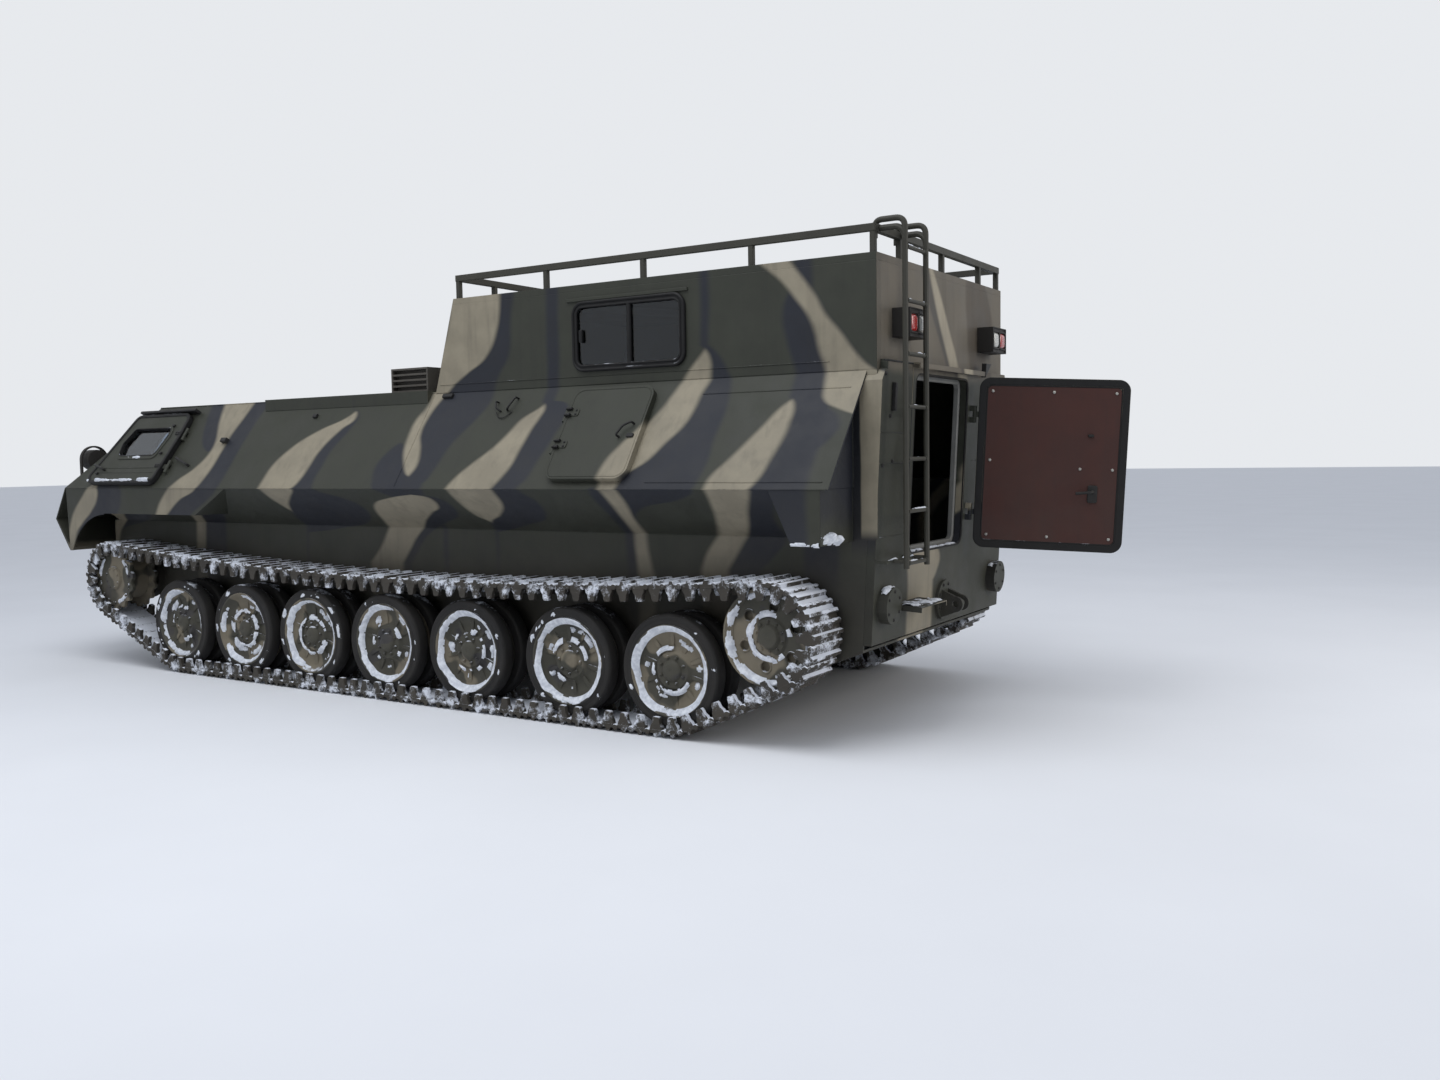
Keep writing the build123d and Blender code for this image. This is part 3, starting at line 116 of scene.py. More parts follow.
def sums(tree, operation, *values, clamp=False):
    """One Math node."""
    made = make(tree, "Math", {"operation": operation, "use_clamp": clamp})
    for socket, value in zip(made.inputs, values):
        feed(tree, socket, value)
    return made.outputs[0]


def product(tree, first, *others):
    """Masks multiplied together."""
    for other in others:
        first = sums(tree, "MULTIPLY", first, other)
    return first


def scaled(tree, value, factor, start, clamp=False):
    """A value times a factor, on top of a start."""
    return sums(tree, "MULTIPLY_ADD", value, factor, start, clamp=clamp)


def ramp(tree, value, low, high, start=0.0, end=1.0, smooth=True):
    """A value's run from low to high, turned into a run from start to end."""
    kind = "SMOOTHSTEP" if smooth else "LINEAR"
    made = make(tree, "MapRange", {"interpolation_type": kind}, Value=value)
    for name, number in (("From Min", low), ("From Max", high), ("To Min", start), ("To Max", end)):
        feed(tree, made.inputs[name], number)
    return made.outputs["Result"]


def mix(tree, mask, first, second, way="MIX"):
    """Two colours mixed by a mask."""
    made = make(tree, "Mix", {"data_type": "RGBA", "blend_type": way})
    for index, value in ((0, mask), (6, first), (7, second)):
        feed(tree, made.inputs[index], value)
    return made.outputs[2]


def object_place(tree):
    """The place of each point on the vehicle, in metres."""
    return make(tree, "TexCoord", {}).outputs["Object"]


def three(tree, vector):
    """The three parts of a vector."""
    return tuple(make(tree, "SeparateXYZ", {}, Vector=vector).outputs)


def clouds(tree, where, scale, detail=2.0, rough=0.5):
    """Noise from 0 to 1."""
    made = make(tree, "TexNoise", {}, Vector=where, Scale=scale, Detail=detail, Roughness=rough)
    return made.outputs[0]


def linear(red, green, blue):
    """A colour read off a screen, 0 to 255, as light."""
    parts = [c / 255 for c in (red, green, blue)]
    return tuple(((c + 0.055) / 1.055) ** 2.4 if c > 0.04045 else c / 12.92 for c in parts) + (1.0,)


print("olive as light:", [round(c, 3) for c in linear(72, 77, 71)])

# %% [markdown]
# What several paints share, such as chips, dirt and snow, is built once as a shader group. Each
# paint feeds the group only the values that differ.

# %% Group helpers
def new_group(name, inputs, outputs):
    """An empty shader group with its sockets, and its own input and output ends."""
    group = bpy.data.node_groups.new(name, "ShaderNodeTree")
    for label, kind, value in inputs:
        socket = group.interface.new_socket(label, in_out="INPUT", socket_type="NodeSocket" + kind)
        socket.default_value = value
    for label, kind in outputs:
        group.interface.new_socket(label, in_out="OUTPUT", socket_type="NodeSocket" + kind)
    return group, group.nodes.new("NodeGroupInput").outputs, group.nodes.new("NodeGroupOutput").inputs


def use_group(tree, group, **inputs):
    """A group placed in a tree. Its outputs are picked by name."""
    made = tree.nodes.new("ShaderNodeGroup")
    made.node_tree = group
    for name, value in inputs.items():
        feed(tree, made.inputs[name.replace("_", " ")], value)
    return made.outputs


print("groups so far:", len(bpy.data.node_groups))

# %% [markdown]
# The paint is sprayed by hand over olive: pale tan strokes with a dark blue one behind each. A
# stroke's two edges are curves over height, so one curves node holds a whole stroke, and soft
# steps at its edges give the spray. Going inward from the side, the strokes drift forward, which
# carries them slanting over the roof, the nose and the far side.

# %% Stroke tables
# height, tan front edge, tan back edge, blue back edge
strokes = (
    ((1.50, 3.56, 3.60, 3.62), (1.44, 3.67, 3.53, 3.20), (1.35, 3.77, 3.54, 3.20), (1.25, 3.87, 3.63, 3.25),
     (1.15, 3.93, 3.77, 3.50), (1.05, 3.97, 3.87, 3.87), (0.92, 3.99, 3.90, 3.90)),
    ((2.12, 2.42, 2.02, 1.84), (1.95, 2.36, 2.09, 1.89), (1.80, 2.28, 2.13, 1.92), (1.70, 2.28, 2.14, 1.93),
     (1.60, 2.35, 2.15, 1.93), (1.50, 2.50, 2.18, 1.94), (1.44, 2.57, 2.22, 1.96), (1.35, 2.66, 2.43, 2.09),
     (1.25, 2.73, 2.58, 2.27), (1.15, 2.80, 2.68, 2.42)),
    ((2.00, 0.80, 0.86, 0.86), (1.95, 0.87, 0.79, 0.76), (1.85, 1.13, 0.90, 0.80), (1.70, 1.37, 1.01, 0.88),
     (1.60, 1.45, 1.04, 0.90), (1.50, 1.47, 1.08, 0.92), (1.44, 1.48, 1.13, 0.90), (1.37, 1.48, 1.27, 0.70),
     (1.30, 1.45, 1.39, 0.60), (1.22, 1.40, 1.46, 0.66), (1.14, 1.40, 1.46, 1.05), (1.10, 1.40, 1.46, 1.44)),
    ((1.40, -0.02, 0.04, 0.04), (1.37, 0.26, -0.16, -0.24), (1.33, 0.44, -0.16, -0.28), (1.27, 0.52, -0.02, -0.26),
     (1.20, 0.55, 0.13, -0.06), (1.10, 0.60, 0.28, 0.18), (1.00, 0.66, 0.36, 0.27), (0.90, 0.76, 0.44, 0.35)),
    ((2.74, -0.10, -0.54, -0.66), (2.50, -0.05, -0.50, -0.62), (2.30, 0.03, -0.38, -0.59), (2.20, 0.07, -0.20, -0.52),
     (2.10, 0.10, -0.06, -0.47), (2.00, 0.11, 0.03, -0.47), (1.90, 0.16, 0.06, -0.41), (1.80, 0.17, 0.05, -0.33),
     (1.70, 0.15, -0.01, -0.27), (1.60, 0.09, -0.04, -0.24), (1.54, 0.03, -0.02, -0.21), (1.49, -0.06, 0.02, -0.18),
     (1.42, -0.06, 0.02, -0.02)),
    ((1.99, -0.97, -0.92, -1.02), (1.95, -0.92, -0.96, -1.16), (1.88, -0.81, -0.95, -1.17), (1.80, -0.75, -0.92, -1.14),
     (1.70, -0.66, -0.90, -1.11), (1.60, -0.54, -0.88, -1.07), (1.50, -0.43, -0.83, -1.04), (1.44, -0.39, -0.79, -1.00),
     (1.35, -0.38, -0.75, -1.06), (1.26, -0.41, -0.62, -1.02), (1.20, -0.50, -0.48, -0.80), (1.14, -0.52, -0.46, -0.48)),
    ((2.28, -2.16, -2.10, -2.16), (2.22, -2.10, -2.16, -2.23), (2.09, -1.98, -2.16, -2.30), (2.00, -1.93, -2.14, -2.33),
     (1.90, -1.88, -2.13, -2.35), (1.80, -1.81, -2.09, -2.35), (1.70, -1.72, -2.00, -2.34), (1.60, -1.64, -1.91, -2.34),
     (1.50, -1.62, -1.77, -2.32), (1.44, -1.63, -1.75, -2.29), (1.38, -1.62, -1.74, -2.15), (1.32, -1.61, -1.72, -1.82),
     (1.25, -1.61, -1.70, -1.72), (0.90, -1.63, -1.75, -1.75)),
    ((1.95, -2.79, -2.74, -2.85), (1.90, -2.72, -2.79, -2.97), (1.80, -2.64, -2.79, -3.10), (1.70, -2.56, -2.78, -3.06),
     (1.60, -2.48, -2.75, -2.95), (1.50, -2.39, -2.71, -2.89), (1.44, -2.37, -2.66, -2.84), (1.35, -2.34, -2.58, -2.75),
     (1.25, -2.28, -2.50, -2.68), (1.15, -2.21, -2.41, -2.68), (1.05, -2.14, -2.35, -2.60), (0.95, -2.10, -2.29, -2.50)),
    ((2.75, -2.46, -2.68, -2.69), (2.60, -2.66, -2.80, -2.81), (2.50, -2.75, -2.88, -2.89), (2.40, -2.83, -2.94, -2.95),
     (2.30, -2.87, -3.02, -3.03), (2.20, -2.89, -3.10, -3.11), (2.10, -2.93, -3.20, -3.21), (2.00, -2.95, -3.40, -3.45),
     (1.93, -2.97, -3.40, -3.45), (1.87, -3.08, -3.40, -3.45), (1.80, -3.30, -3.40, -3.45), (1.74, -3.42, -3.36, -3.42)),
    ((2.12, 4.55, 4.25, 4.05), (1.80, 4.60, 4.38, 4.15), (1.44, 4.90, 4.62, 4.42), (1.00, 5.10, 4.92, 4.70)),
)
# height, and the front and back edges of a blue stroke that stands alone
blue_strokes = (
    ((2.12, 2.57, 2.38), (1.95, 2.52, 2.34), (1.85, 2.48, 2.27), (1.77, 2.42, 2.25), (1.71, 2.28, 2.33)),
    ((1.76, 0.20, 0.26), (1.70, 0.29, 0.12), (1.60, 0.35, 0.05), (1.50, 0.33, -0.15), (1.42, 0.26, -0.15),
     (1.36, 0.00, 0.08)),
    ((1.46, -1.60, -1.58), (1.40, -1.53, -1.64), (1.20, -1.54, -1.63), (0.90, -1.55, -1.65)),
    ((2.58, -2.74, -2.70), (2.50, -2.68, -2.77), (2.40, -2.66, -2.85), (2.30, -2.68, -2.89), (2.10, -2.74, -2.95),
     (2.00, -2.78, -2.97), (1.88, -2.79, -3.02)),
)
print(len(strokes), "tan strokes and", len(blue_strokes), "blue ones")

# %% [markdown]
# The group measures each point: its height, how far it lies inward of the side, and its place
# along the hull, which a little noise sets wandering. Every stroke then adds to one of two masks.

# %% Camouflage group
lowest, highest, reach = 0.85, 2.75, 2.0
spray = 0.028 / reach


def stroke_edges(tree, height, along, rows):
    """For one stroke: how far a place lies behind its first edge and ahead of the others."""
    middle = sum(row[1] for row in rows) / len(rows)
    curves = make(tree, "RGBCurve", {})
    curves.mapping.extend = "HORIZONTAL"
    for channel in range(len(rows[0]) - 1):
        curve = curves.mapping.curves[channel]
        spots = sorted(
            ((row[0] - lowest) / (highest - lowest), (row[channel + 1] - middle) / reach + 0.5) for row in rows)
        while len(curve.points) < len(spots):
            curve.points.new(0.5, 0.5)
        for point, spot in zip(curve.points, spots):
            point.location = spot
    curves.mapping.update()
    feed(tree, curves.inputs["Color"], height)
    edges = make(tree, "SeparateColor", {}, Color=curves.outputs[0]).outputs
    place = scaled(tree, sums(tree, "SUBTRACT", along, middle), 1 / reach, 0.5)
    return [sums(tree, "SUBTRACT", edges[i], place) for i in range(len(rows[0]) - 1)]


def band(tree, ahead_of, behind):
    """A band with sprayed edges, from its two edge distances."""
    return product(tree, ramp(tree, ahead_of, -spray, spray), ramp(tree, behind, -spray, spray, 1.0, 0.0))


camouflage, ins, outs = new_group("Sprayed camouflage", (
    ("Olive", "Color", linear(50, 52, 44)),
    ("Blue", "Color", linear(31, 34, 42)),
    ("Tan", "Color", linear(141, 133, 115)),
), (("Color", "Color"),))
spot = object_place(camouflage)
forward, leftward, upward = three(camouflage, spot)
wander = sums(camouflage, "SUBTRACT", clouds(camouflage, spot, 2.6, 1.0), 0.5)
half_above = ramp(camouflage, upward, belt_z, crease_z, belt_half, crease_half, False)
half_below = ramp(camouflage, upward, sill_z, belt_z, sill_half, belt_half, False)
half = sums(camouflage, "MINIMUM", half_above, half_below)
inward = sums(camouflage, "MAXIMUM", sums(camouflage, "SUBTRACT", half, leftward), 0.0)
along = scaled(camouflage, wander, 0.05, scaled(camouflage, inward, 0.5, forward))
height = ramp(camouflage, upward, lowest, highest, smooth=False)

tan_mask, blue_mask = 0.0, 0.0
for rows in strokes:
    first, second, third = stroke_edges(camouflage, height, along, rows)
    tan_mask = sums(camouflage, "MAXIMUM", tan_mask, band(camouflage, first, second))
    blue_mask = sums(camouflage, "MAXIMUM", blue_mask, band(camouflage, second, third))
for rows in blue_strokes:
    alone = band(camouflage, *stroke_edges(camouflage, height, along, rows))
    blue_mask = sums(camouflage, "MAXIMUM", blue_mask, alone)
sides = mix(camouflage, blue_mask, ins["Olive"], ins["Blue"])
sides = mix(camouflage, tan_mask, sides, ins["Tan"])
# Below 1.1 m the sides fade toward a dark grey: painted shade under the sponsons and behind the tracks.
sides = mix(camouflage, ramp(camouflage, upward, 1.10, 0.80, 0.0, 0.75), sides, linear(38, 38, 33))
print("camouflage group:", len(camouflage.nodes), "nodes")

# %% [markdown]
# The rear wall was painted apart from the sides: washed-out tan over the cabin, with one curved
# pale stroke, and plain olive beside and below the doorway. Its strokes run over the width
# instead of the length, and only faces that look backward take them.

# %% Rear wall strokes
# height, then the edges across the hull, as y: of the pale stroke and its blue shade, of the
# brown patch, and of the tan below the doorway
rear_pale = ((2.75, 0.28, 0.24, 0.40), (2.54, 0.18, 0.06, 0.30), (2.37, 0.08, -0.06, 0.16),
             (2.16, -0.06, -0.21, 0.0), (2.05, -0.12, -0.26, -0.05))
rear_brown = ((2.75, -0.36, -0.66), (2.57, -0.34, -0.80), (2.45, -0.36, -0.84), (2.20, -0.40, -0.70),
              (2.10, -0.44, -0.68))
rear_tan = ((1.06, 0.16, 0.22), (1.0, 0.56, 0.08), (0.9, 0.56, 0.12), (0.78, 0.52, 0.3), (0.70, 0.36, 0.42))

pale_left, pale_right, blue_left = stroke_edges(camouflage, height, leftward, rear_pale)
brown, low_tan = (
    band(camouflage, *stroke_edges(camouflage, height, leftward, rows)) for rows in (rear_brown, rear_tan))
worn = clouds(camouflage, spot, 2.2, 2.0)
washed = mix(camouflage, worn, linear(84, 79, 69), linear(116, 108, 95))
for mask, colour in (
    (product(camouflage, brown, 0.6), linear(66, 58, 50)),
    (product(camouflage, band(camouflage, blue_left, pale_left), 0.5), ins["Blue"]),
    (band(camouflage, pale_left, pale_right), linear(160, 151, 132)),
):
    washed = mix(camouflage, mask, washed, colour)
upper = ramp(camouflage, scaled(camouflage, worn, 0.08, upward), 2.08, 2.16)
rear_paint = mix(camouflage, upper, ins["Olive"], washed)
rear_paint = mix(camouflage, low_tan, rear_paint, ins["Tan"])
print("camouflage group with the rear wall:", len(camouflage.nodes), "nodes")

# %% [markdown]
# Beside the doorway the side plates end in narrow strips, tan behind and dark ahead, and the
# wall's recess behind them is blue-grey. Masks from width, length, height and the face's own
# direction pick these out, and then the group is complete.

# %% Rear corners
facing = three(camouflage, make(camouflage, "NewGeometry", {}).outputs["True Normal"])
width = sums(camouflage, "ABSOLUTE", leftward)
deep = ramp(camouflage, scaled(camouflage, worn, 0.3, upward), 1.35, 1.5)
recess = mix(camouflage, deep, ins["Olive"], ins["Blue"])
rear_paint = mix(camouflage, ramp(camouflage, width, 1.035, 1.045), rear_paint, recess)

strip = product(
    camouflage,
    ramp(camouflage, scaled(camouflage, worn, 0.02, forward), -3.130, -3.145),
    ramp(camouflage, upward, 1.14, 1.22),
)
flank = product(
    camouflage,
    ramp(camouflage, sums(camouflage, "ABSOLUTE", facing[1]), 0.90, 0.95),
    ramp(camouflage, width, 1.020, 1.025),
    ramp(camouflage, width, 1.045, 1.035),
    ramp(camouflage, forward, -3.085, -3.095),
    ramp(camouflage, upward, 1.02, 1.16),
    ramp(camouflage, upward, 2.095, 2.088),
)
sides = mix(camouflage, flank, sides, mix(camouflage, strip, linear(26, 28, 33), ins["Tan"]))
on_rear = product(
    camouflage, ramp(camouflage, facing[0], -0.75, -0.85), ramp(camouflage, forward, -3.05, -3.12))
feed(camouflage, outs["Color"], mix(camouflage, on_rear, sides, rear_paint))
print("camouflage group complete:", len(camouflage.nodes), "nodes")

# %% [markdown]
# Paint on a machine that works outdoors chips where edges are knocked. A Bevel node looks at the
# surface just round each point: where its normal differs from the face's own, there is an edge,
# and noise breaks it into chips. The same softened normal also rounds the sharp edges in light.

# %% Edge wear group
edge_wear, ins, outs = new_group(
    "Edge wear",
    (("Radius", "Float", 0.006), ("Amount", "Float", 0.5)),
    (("Mask", "Float"), ("Normal", "Vector")),
)
soft_normal = make(edge_wear, "Bevel", {"samples": 4}, Radius=ins["Radius"]).outputs[0]
face_normal = make(edge_wear, "NewGeometry", {}).outputs["Normal"]
likeness = make(edge_wear, "VectorMath", {"operation": "DOT_PRODUCT"})
feed(edge_wear, likeness.inputs[0], soft_normal)
feed(edge_wear, likeness.inputs[1], face_normal)
sharp = ramp(edge_wear, likeness.outputs["Value"], 0.995, 0.93)
least = scaled(edge_wear, ins["Amount"], -0.4, 0.78)
chips = ramp(edge_wear, clouds(edge_wear, object_place(edge_wear), 22.0, 4.0, 0.6), least, 0.8)
feed(edge_wear, outs["Mask"], sums(edge_wear, "MULTIPLY", sharp, chips, clamp=True))
feed(edge_wear, outs["Normal"], soft_normal)
print("edge wear:", len(edge_wear.nodes), "nodes")

# %% [markdown]
# Snow dust settles on what faces up and clings in patches lower down, where the tracks throw it.
# The mask mixes the face's upward tilt with noise at two sizes, and it also drives a small bump.

# %% Snow dust group
snow_dust, ins, outs = new_group(
    "Snow dust",
    (("On Top", "Float", 0.6), ("Clinging", "Float", 0.0), ("Grain", "Float", 1.0)),
    (("Mask", "Float"), ("Height", "Float")),
)
place = object_place(snow_dust)
tilt = three(snow_dust, make(snow_dust, "NewGeometry", {}).outputs["Normal"])[2]
coarse = clouds(snow_dust, place, product(snow_dust, ins["Grain"], 9.0), 5.0, 0.62)
fine = clouds(snow_dust, place, product(snow_dust, ins["Grain"], 120.0), 3.0, 0.7)
cover = scaled(snow_dust, ramp(snow_dust, tilt, 0.25, 0.95), ins["On Top"], ins["Clinging"])
grainy = sums(snow_dust, "ADD", coarse, scaled(snow_dust, fine, 0.3, -0.15))
amount = sums(snow_dust, "ADD", grainy, sums(snow_dust, "SUBTRACT", cover, 1.0))
mask = ramp(snow_dust, amount, 0.0, 0.16)
feed(snow_dust, outs["Mask"], mask)
feed(snow_dust, outs["Height"], product(snow_dust, mask, scaled(snow_dust, fine, 0.5, 0.6)))
print("snow dust:", len(snow_dust.nodes), "nodes")

# %% [markdown]
# Road dirt: a film of dried spray that thickens toward the ground, with streaks where meltwater
# ran down. Streaks are noise squeezed sideways and stretched upright.

# %% Road dirt group
road_dirt, ins, outs = new_group(
    "Road dirt",
    (("Clean Height", "Float", 2.2), ("Amount", "Float", 0.5)),
    (("Mask", "Float"), ("Streaks", "Float")),
)
place = object_place(road_dirt)
squeezed = make(road_dirt, "VectorMath", {"operation": "MULTIPLY"})
feed(road_dirt, squeezed.inputs[0], place)
squeezed.inputs[1].default_value = (14.0, 14.0, 1.1)
streaks = clouds(road_dirt, squeezed.outputs[0], 1.0, 3.0, 0.55)
blots = clouds(road_dirt, place, 3.4, 4.0, 0.6)
low = ramp(road_dirt, three(road_dirt, place)[2], ins["Clean Height"], 0.5)
film = product(road_dirt, sums(road_dirt, "ADD", low, 0.18), scaled(road_dirt, blots, 1.3, -0.1))
feed(road_dirt, outs["Mask"], sums(road_dirt, "MULTIPLY", film, ins["Amount"], clamp=True))
feed(road_dirt, outs["Streaks"], ramp(road_dirt, streaks, 0.48, 0.72))
print("effect groups:", [g.name for g in bpy.data.node_groups])

# %% [markdown]
# One recipe makes every painted metal here: a base colour, dirt over it, chips at the edges,
# snow on top, and a bump from the spray's fine orange peel and the plate's shallow dents.

# %% Painted metal recipe
def new_material(name):
    """An empty material: its tree and its Principled shader."""
    material = bpy.data.materials.new(name)
    material.use_nodes = True
    tree = material.node_tree
    return material, tree, tree.nodes["Principled BSDF"]


def finish_nodes(material, *names):
    """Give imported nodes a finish."""
    for name in names:
        slots = nodes[name].data.materials
        slots.clear()
        slots.append(material)


def painted(name, base, *solids, rough=0.55, chip=0.5, dirt=0.5, clean=2.2, top=0.5, cling=0.0,
            grain=1.0, metal=0.0):
    """A painted metal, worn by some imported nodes. The base is a colour, or a group's Color output."""
    material, tree, shader = new_material(name)
    if isinstance(base, bpy.types.NodeTree):
        base = use_group(tree, base)["Color"]
    place = object_place(tree)
    wear = use_group(tree, edge_wear, Radius=0.006, Amount=chip)
    soil = use_group(tree, road_dirt, Clean_Height=clean, Amount=dirt)
    snow = use_group(tree, snow_dust, On_Top=top, Clinging=cling, Grain=grain)
    mottle = clouds(tree, place, 5.0, 4.0, 0.6)
    shade = make(tree, "CombineColor", {})
    for channel in shade.inputs:
        feed(tree, channel, ramp(tree, mottle, 0.3, 0.7, 0.88, 1.1))
    colour = mix(tree, 1.0, base, shade.outputs[0], "MULTIPLY")
    for mask, over in (
        (product(tree, soil["Streaks"], 0.16), linear(34, 34, 34)),
        (soil["Mask"], linear(104, 98, 88)),
        (wear["Mask"], linear(58, 54, 50)),
        (snow["Mask"], linear(226, 230, 238)),
    ):
        colour = mix(tree, mask, colour, over)
    feed(tree, shader.inputs["Base Color"], colour)
    shine = scaled(tree, soil["Mask"], 0.2, ramp(tree, mottle, 0.2, 0.8, rough - 0.08, rough + 0.1))
    feed(tree, shader.inputs["Roughness"], scaled(tree, snow["Mask"], 0.25, shine, clamp=True))
    if metal:
        feed(tree, shader.inputs["Metallic"], scaled(tree, snow["Mask"], -metal, metal))
    relief = scaled(tree, clouds(tree, place, 2.3, 1.0), 0.025, product(tree, clouds(tree, place, 420.0), 0.0005))
    relief = scaled(tree, wear["Mask"], -0.0006, relief)
    relief = scaled(tree, snow["Height"], 0.006, relief)
    shader.inputs["Specular IOR Level"].default_value = 0.3
    bump = make(tree, "Bump", {}, Strength=0.6, Distance=1.0, Height=relief, Normal=wear["Normal"])
    feed(tree, shader.inputs["Normal"], bump.outputs[0])
    finish_nodes(material, *solids)
    return material


print("recipe uses", len(bpy.data.node_groups) - 1, "effect groups")

# %% [markdown]
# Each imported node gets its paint. The outside wears the camouflage, the running gear is dirtier
# and carries more snow, and rubber is a dark base with hardly any chips.

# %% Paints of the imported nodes
camouflage_paint = painted(
    "camouflage_paint", camouflage, "side_plate_left", "side_plate_right", "glacis", "nose", "sponsons",
    "rear_fenders", "rear_plate", "cab_roof", "engine_deck", "cabin_left_wall", "cabin_right_wall",
    "cabin_front_wall", "cabin_rear_wall", "cabin_roof", "side_hatch_left", "side_hatch_right", "cab_door_left",
    "cab_door_right", "roof_hatch_left", "roof_hatch_right", "rear_door", dirt=0.20, clean=1.7, top=0.42, grain=0.5)
painted("tub_paint", camouflage, "hull_tub", dirt=0.3, clean=1.7, cling=0.10)
painted("underbody_paint", linear(36, 37, 33), "suspension_arms", clean=1.6, cling=0.16)
painted("wheel_paint", linear(70, 72, 62), "road_wheels", "idlers", dirt=0.6, cling=0.2)
rack_paint = painted("rack_paint", linear(56, 55, 48), "roof_rack", "ladder", dirt=0.2, top=0.2)
painted("louvre_paint", linear(78, 74, 68), "louvre_box", dirt=0.2, top=0.2)
track_steel = painted(
    "track_steel", linear(52, 50, 48), "track_left", "track_right", "sprockets", top=0.75, cling=0.5, metal=0.5)
inner_paint = painted("inner_paint", linear(120, 120, 112), "bulkheads", "dashboard", dirt=0.3, top=0.0)
painted("floor_paint", linear(60, 58, 54), "floors", "engine_block", dirt=0.6, top=0.1)
painted("door_board", linear(66, 37, 32), "rear_door_lining", rough=0.6, dirt=0.15, top=0.0, chip=0.2)
lamp_housing = painted("lamp_housing", linear(32, 30, 28), "headlamps", "tail_lamps", dirt=0.2, top=0.2)
tyre_rubber = painted("tyre_rubber", linear(22, 22, 24), "tyres", rough=0.7, dirt=0.14, chip=0.0)
rubber_seal = painted("rubber_seal", linear(15, 15, 16), "window_frames", rough=0.6, dirt=0.06, chip=0.0)
painted("seat_cover", linear(58, 56, 56), "seats", rough=0.7, dirt=0.1, top=0.0)
print(len(bpy.data.materials), "materials so far")

# %% [markdown]
# Window glass is thin and slightly blue, with a film of dust. A real pane is clear, so it keeps
# full transmission, and the dust only roughens it.

# %% Glass
glass, tree, shader = new_material("window_glass")
shader.inputs["Base Color"].default_value = (0.55, 0.62, 0.70, 1.0)
shader.inputs["Transmission Weight"].default_value = 1.0
shader.inputs["IOR"].default_value = 1.45
dust_film = clouds(tree, object_place(tree), 7.0, 4.0, 0.6)
feed(tree, shader.inputs["Roughness"], ramp(tree, dust_film, 0.35, 0.75, 0.0, 0.05))
finish_nodes(glass, "cab_door_glass_left", "cab_door_glass_right")
print("glass:", len(tree.nodes), "nodes")

# %% [markdown]
# New pieces start as plain lists of points and faces. Two ways of making them cover most of the
# running gear: a flat outline pushed across the hull, and a section turned about an axle. Copies
# are moved by a matrix and joined, so a whole track is one mesh.

# %% Shape helpers
def prism(outline, low, high):
    """An outline of (x, z) points pushed along y from low to high."""
    count = len(outline)
    points = [(x, y, z) for y in (low, high) for x, z in outline]
    around = [(i, (i + 1) % count, count + (i + 1) % count, count + i) for i in range(count)]
    return points, [tuple(range(count))[::-1], tuple(range(count, 2 * count))] + around


def turned(section, steps):
    """A section of (y, radius) points turned about the y axis."""
    angles = [2 * math.pi * k / steps for k in range(steps)]
    points = [(r * math.cos(angle), y, r * math.sin(angle)) for y, r in section for angle in angles]
    faces = []
    for row in range(len(section) - 1):
        for k in range(steps):
            a, b = row * steps + k, row * steps + (k + 1) % steps
            faces.append((a, b, b + steps, a + steps))
    return points, faces


def placed(shape, matrix):
    """A copy of a shape moved by a matrix."""
    return [tuple(matrix @ Vector(p)) for p in shape[0]], shape[1]


def shifted(shape, x, y, z):
    """A copy of a shape moved along the axes."""
    return placed(shape, Matrix.Translation((x, y, z)))


def flipped(shape, side):
    """A copy of a shape, mirrored across the hull for the right side."""
    return placed(shape, Matrix.Scale(side, 4, Vector((0, 1, 0))))


def joined(shapes):
    """Many shapes as one."""
    points, faces = [], []
    for shape in shapes:
        start = len(points)
        points.extend(shape[0])
        faces.extend(tuple(start + i for i in face) for face in shape[1])
    return points, faces


def piece(name, shape, material, body="hull", sharp=35, replaces=()):
    """A shape as an object with a finish, riding on a body."""
    mesh = bpy.data.meshes.new(name)
    mesh.from_pydata(shape[0], [], shape[1])
    clean = bmesh.new()
    clean.from_mesh(mesh)
    bmesh.ops.remove_doubles(clean, verts=clean.verts, dist=1e-6)
    bmesh.ops.dissolve_degenerate(clean, dist=1e-7, edges=clean.edges)
    bmesh.ops.recalc_face_normals(clean, faces=clean.faces)
    clean.to_mesh(mesh)
    clean.free()
    mesh.shade_smooth()
    mesh.set_sharp_from_angle(angle=math.radians(sharp))
    mesh.materials.append(material)
    made = bpy.data.objects.new(name, mesh)
    scene.collection.objects.link(made)
    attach(made, body)
    if replaces:
        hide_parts(*replaces)
    return made


print("test prism:", len(prism(((0, 0), (1, 0), (0, 1)), 0, 1)[1]), "faces")

# %% [markdown]
# A track is a chain of cast links, each 117 mm long, on steel pins. The chain's path repeats the
# solid's: round the sprocket and the idler, flat under the wheels, and a long sag on top. Walking
# the path a pitch at a time gives each link its place and its turn.

# %% The track's path
pitch, lug_out, pin_inset, wheel_gap = 0.117, 0.030, 0.020, 0.0003
track_half, wheel_radius, idler_pins, sag = 1.250, 0.335, 0.300, 38.0
wheel_z = lug_out + pin_inset + wheel_gap + wheel_radius
wheel_xs = [at(1.643 + 0.760 * i + (0.080 if i > 4 else 0.0)) for i in range(7)]
sprocket_x, sprocket_z, sprocket_teeth = at(0.750), 0.700, 15
idler_x, idler_z = at(6.935), 0.625
sprocket_pins = pitch / (2 * math.sin(math.pi / sprocket_teeth))
wheel_pins = wheel_radius + pin_inset + wheel_gap
circles = {
    "sprocket": (sprocket_x, sprocket_z, sprocket_pins),
    "idler": (idler_x, idler_z, idler_pins),
    "last": (wheel_xs[-1], wheel_z, wheel_pins),
    "first": (wheel_xs[0], wheel_z, wheel_pins),
}


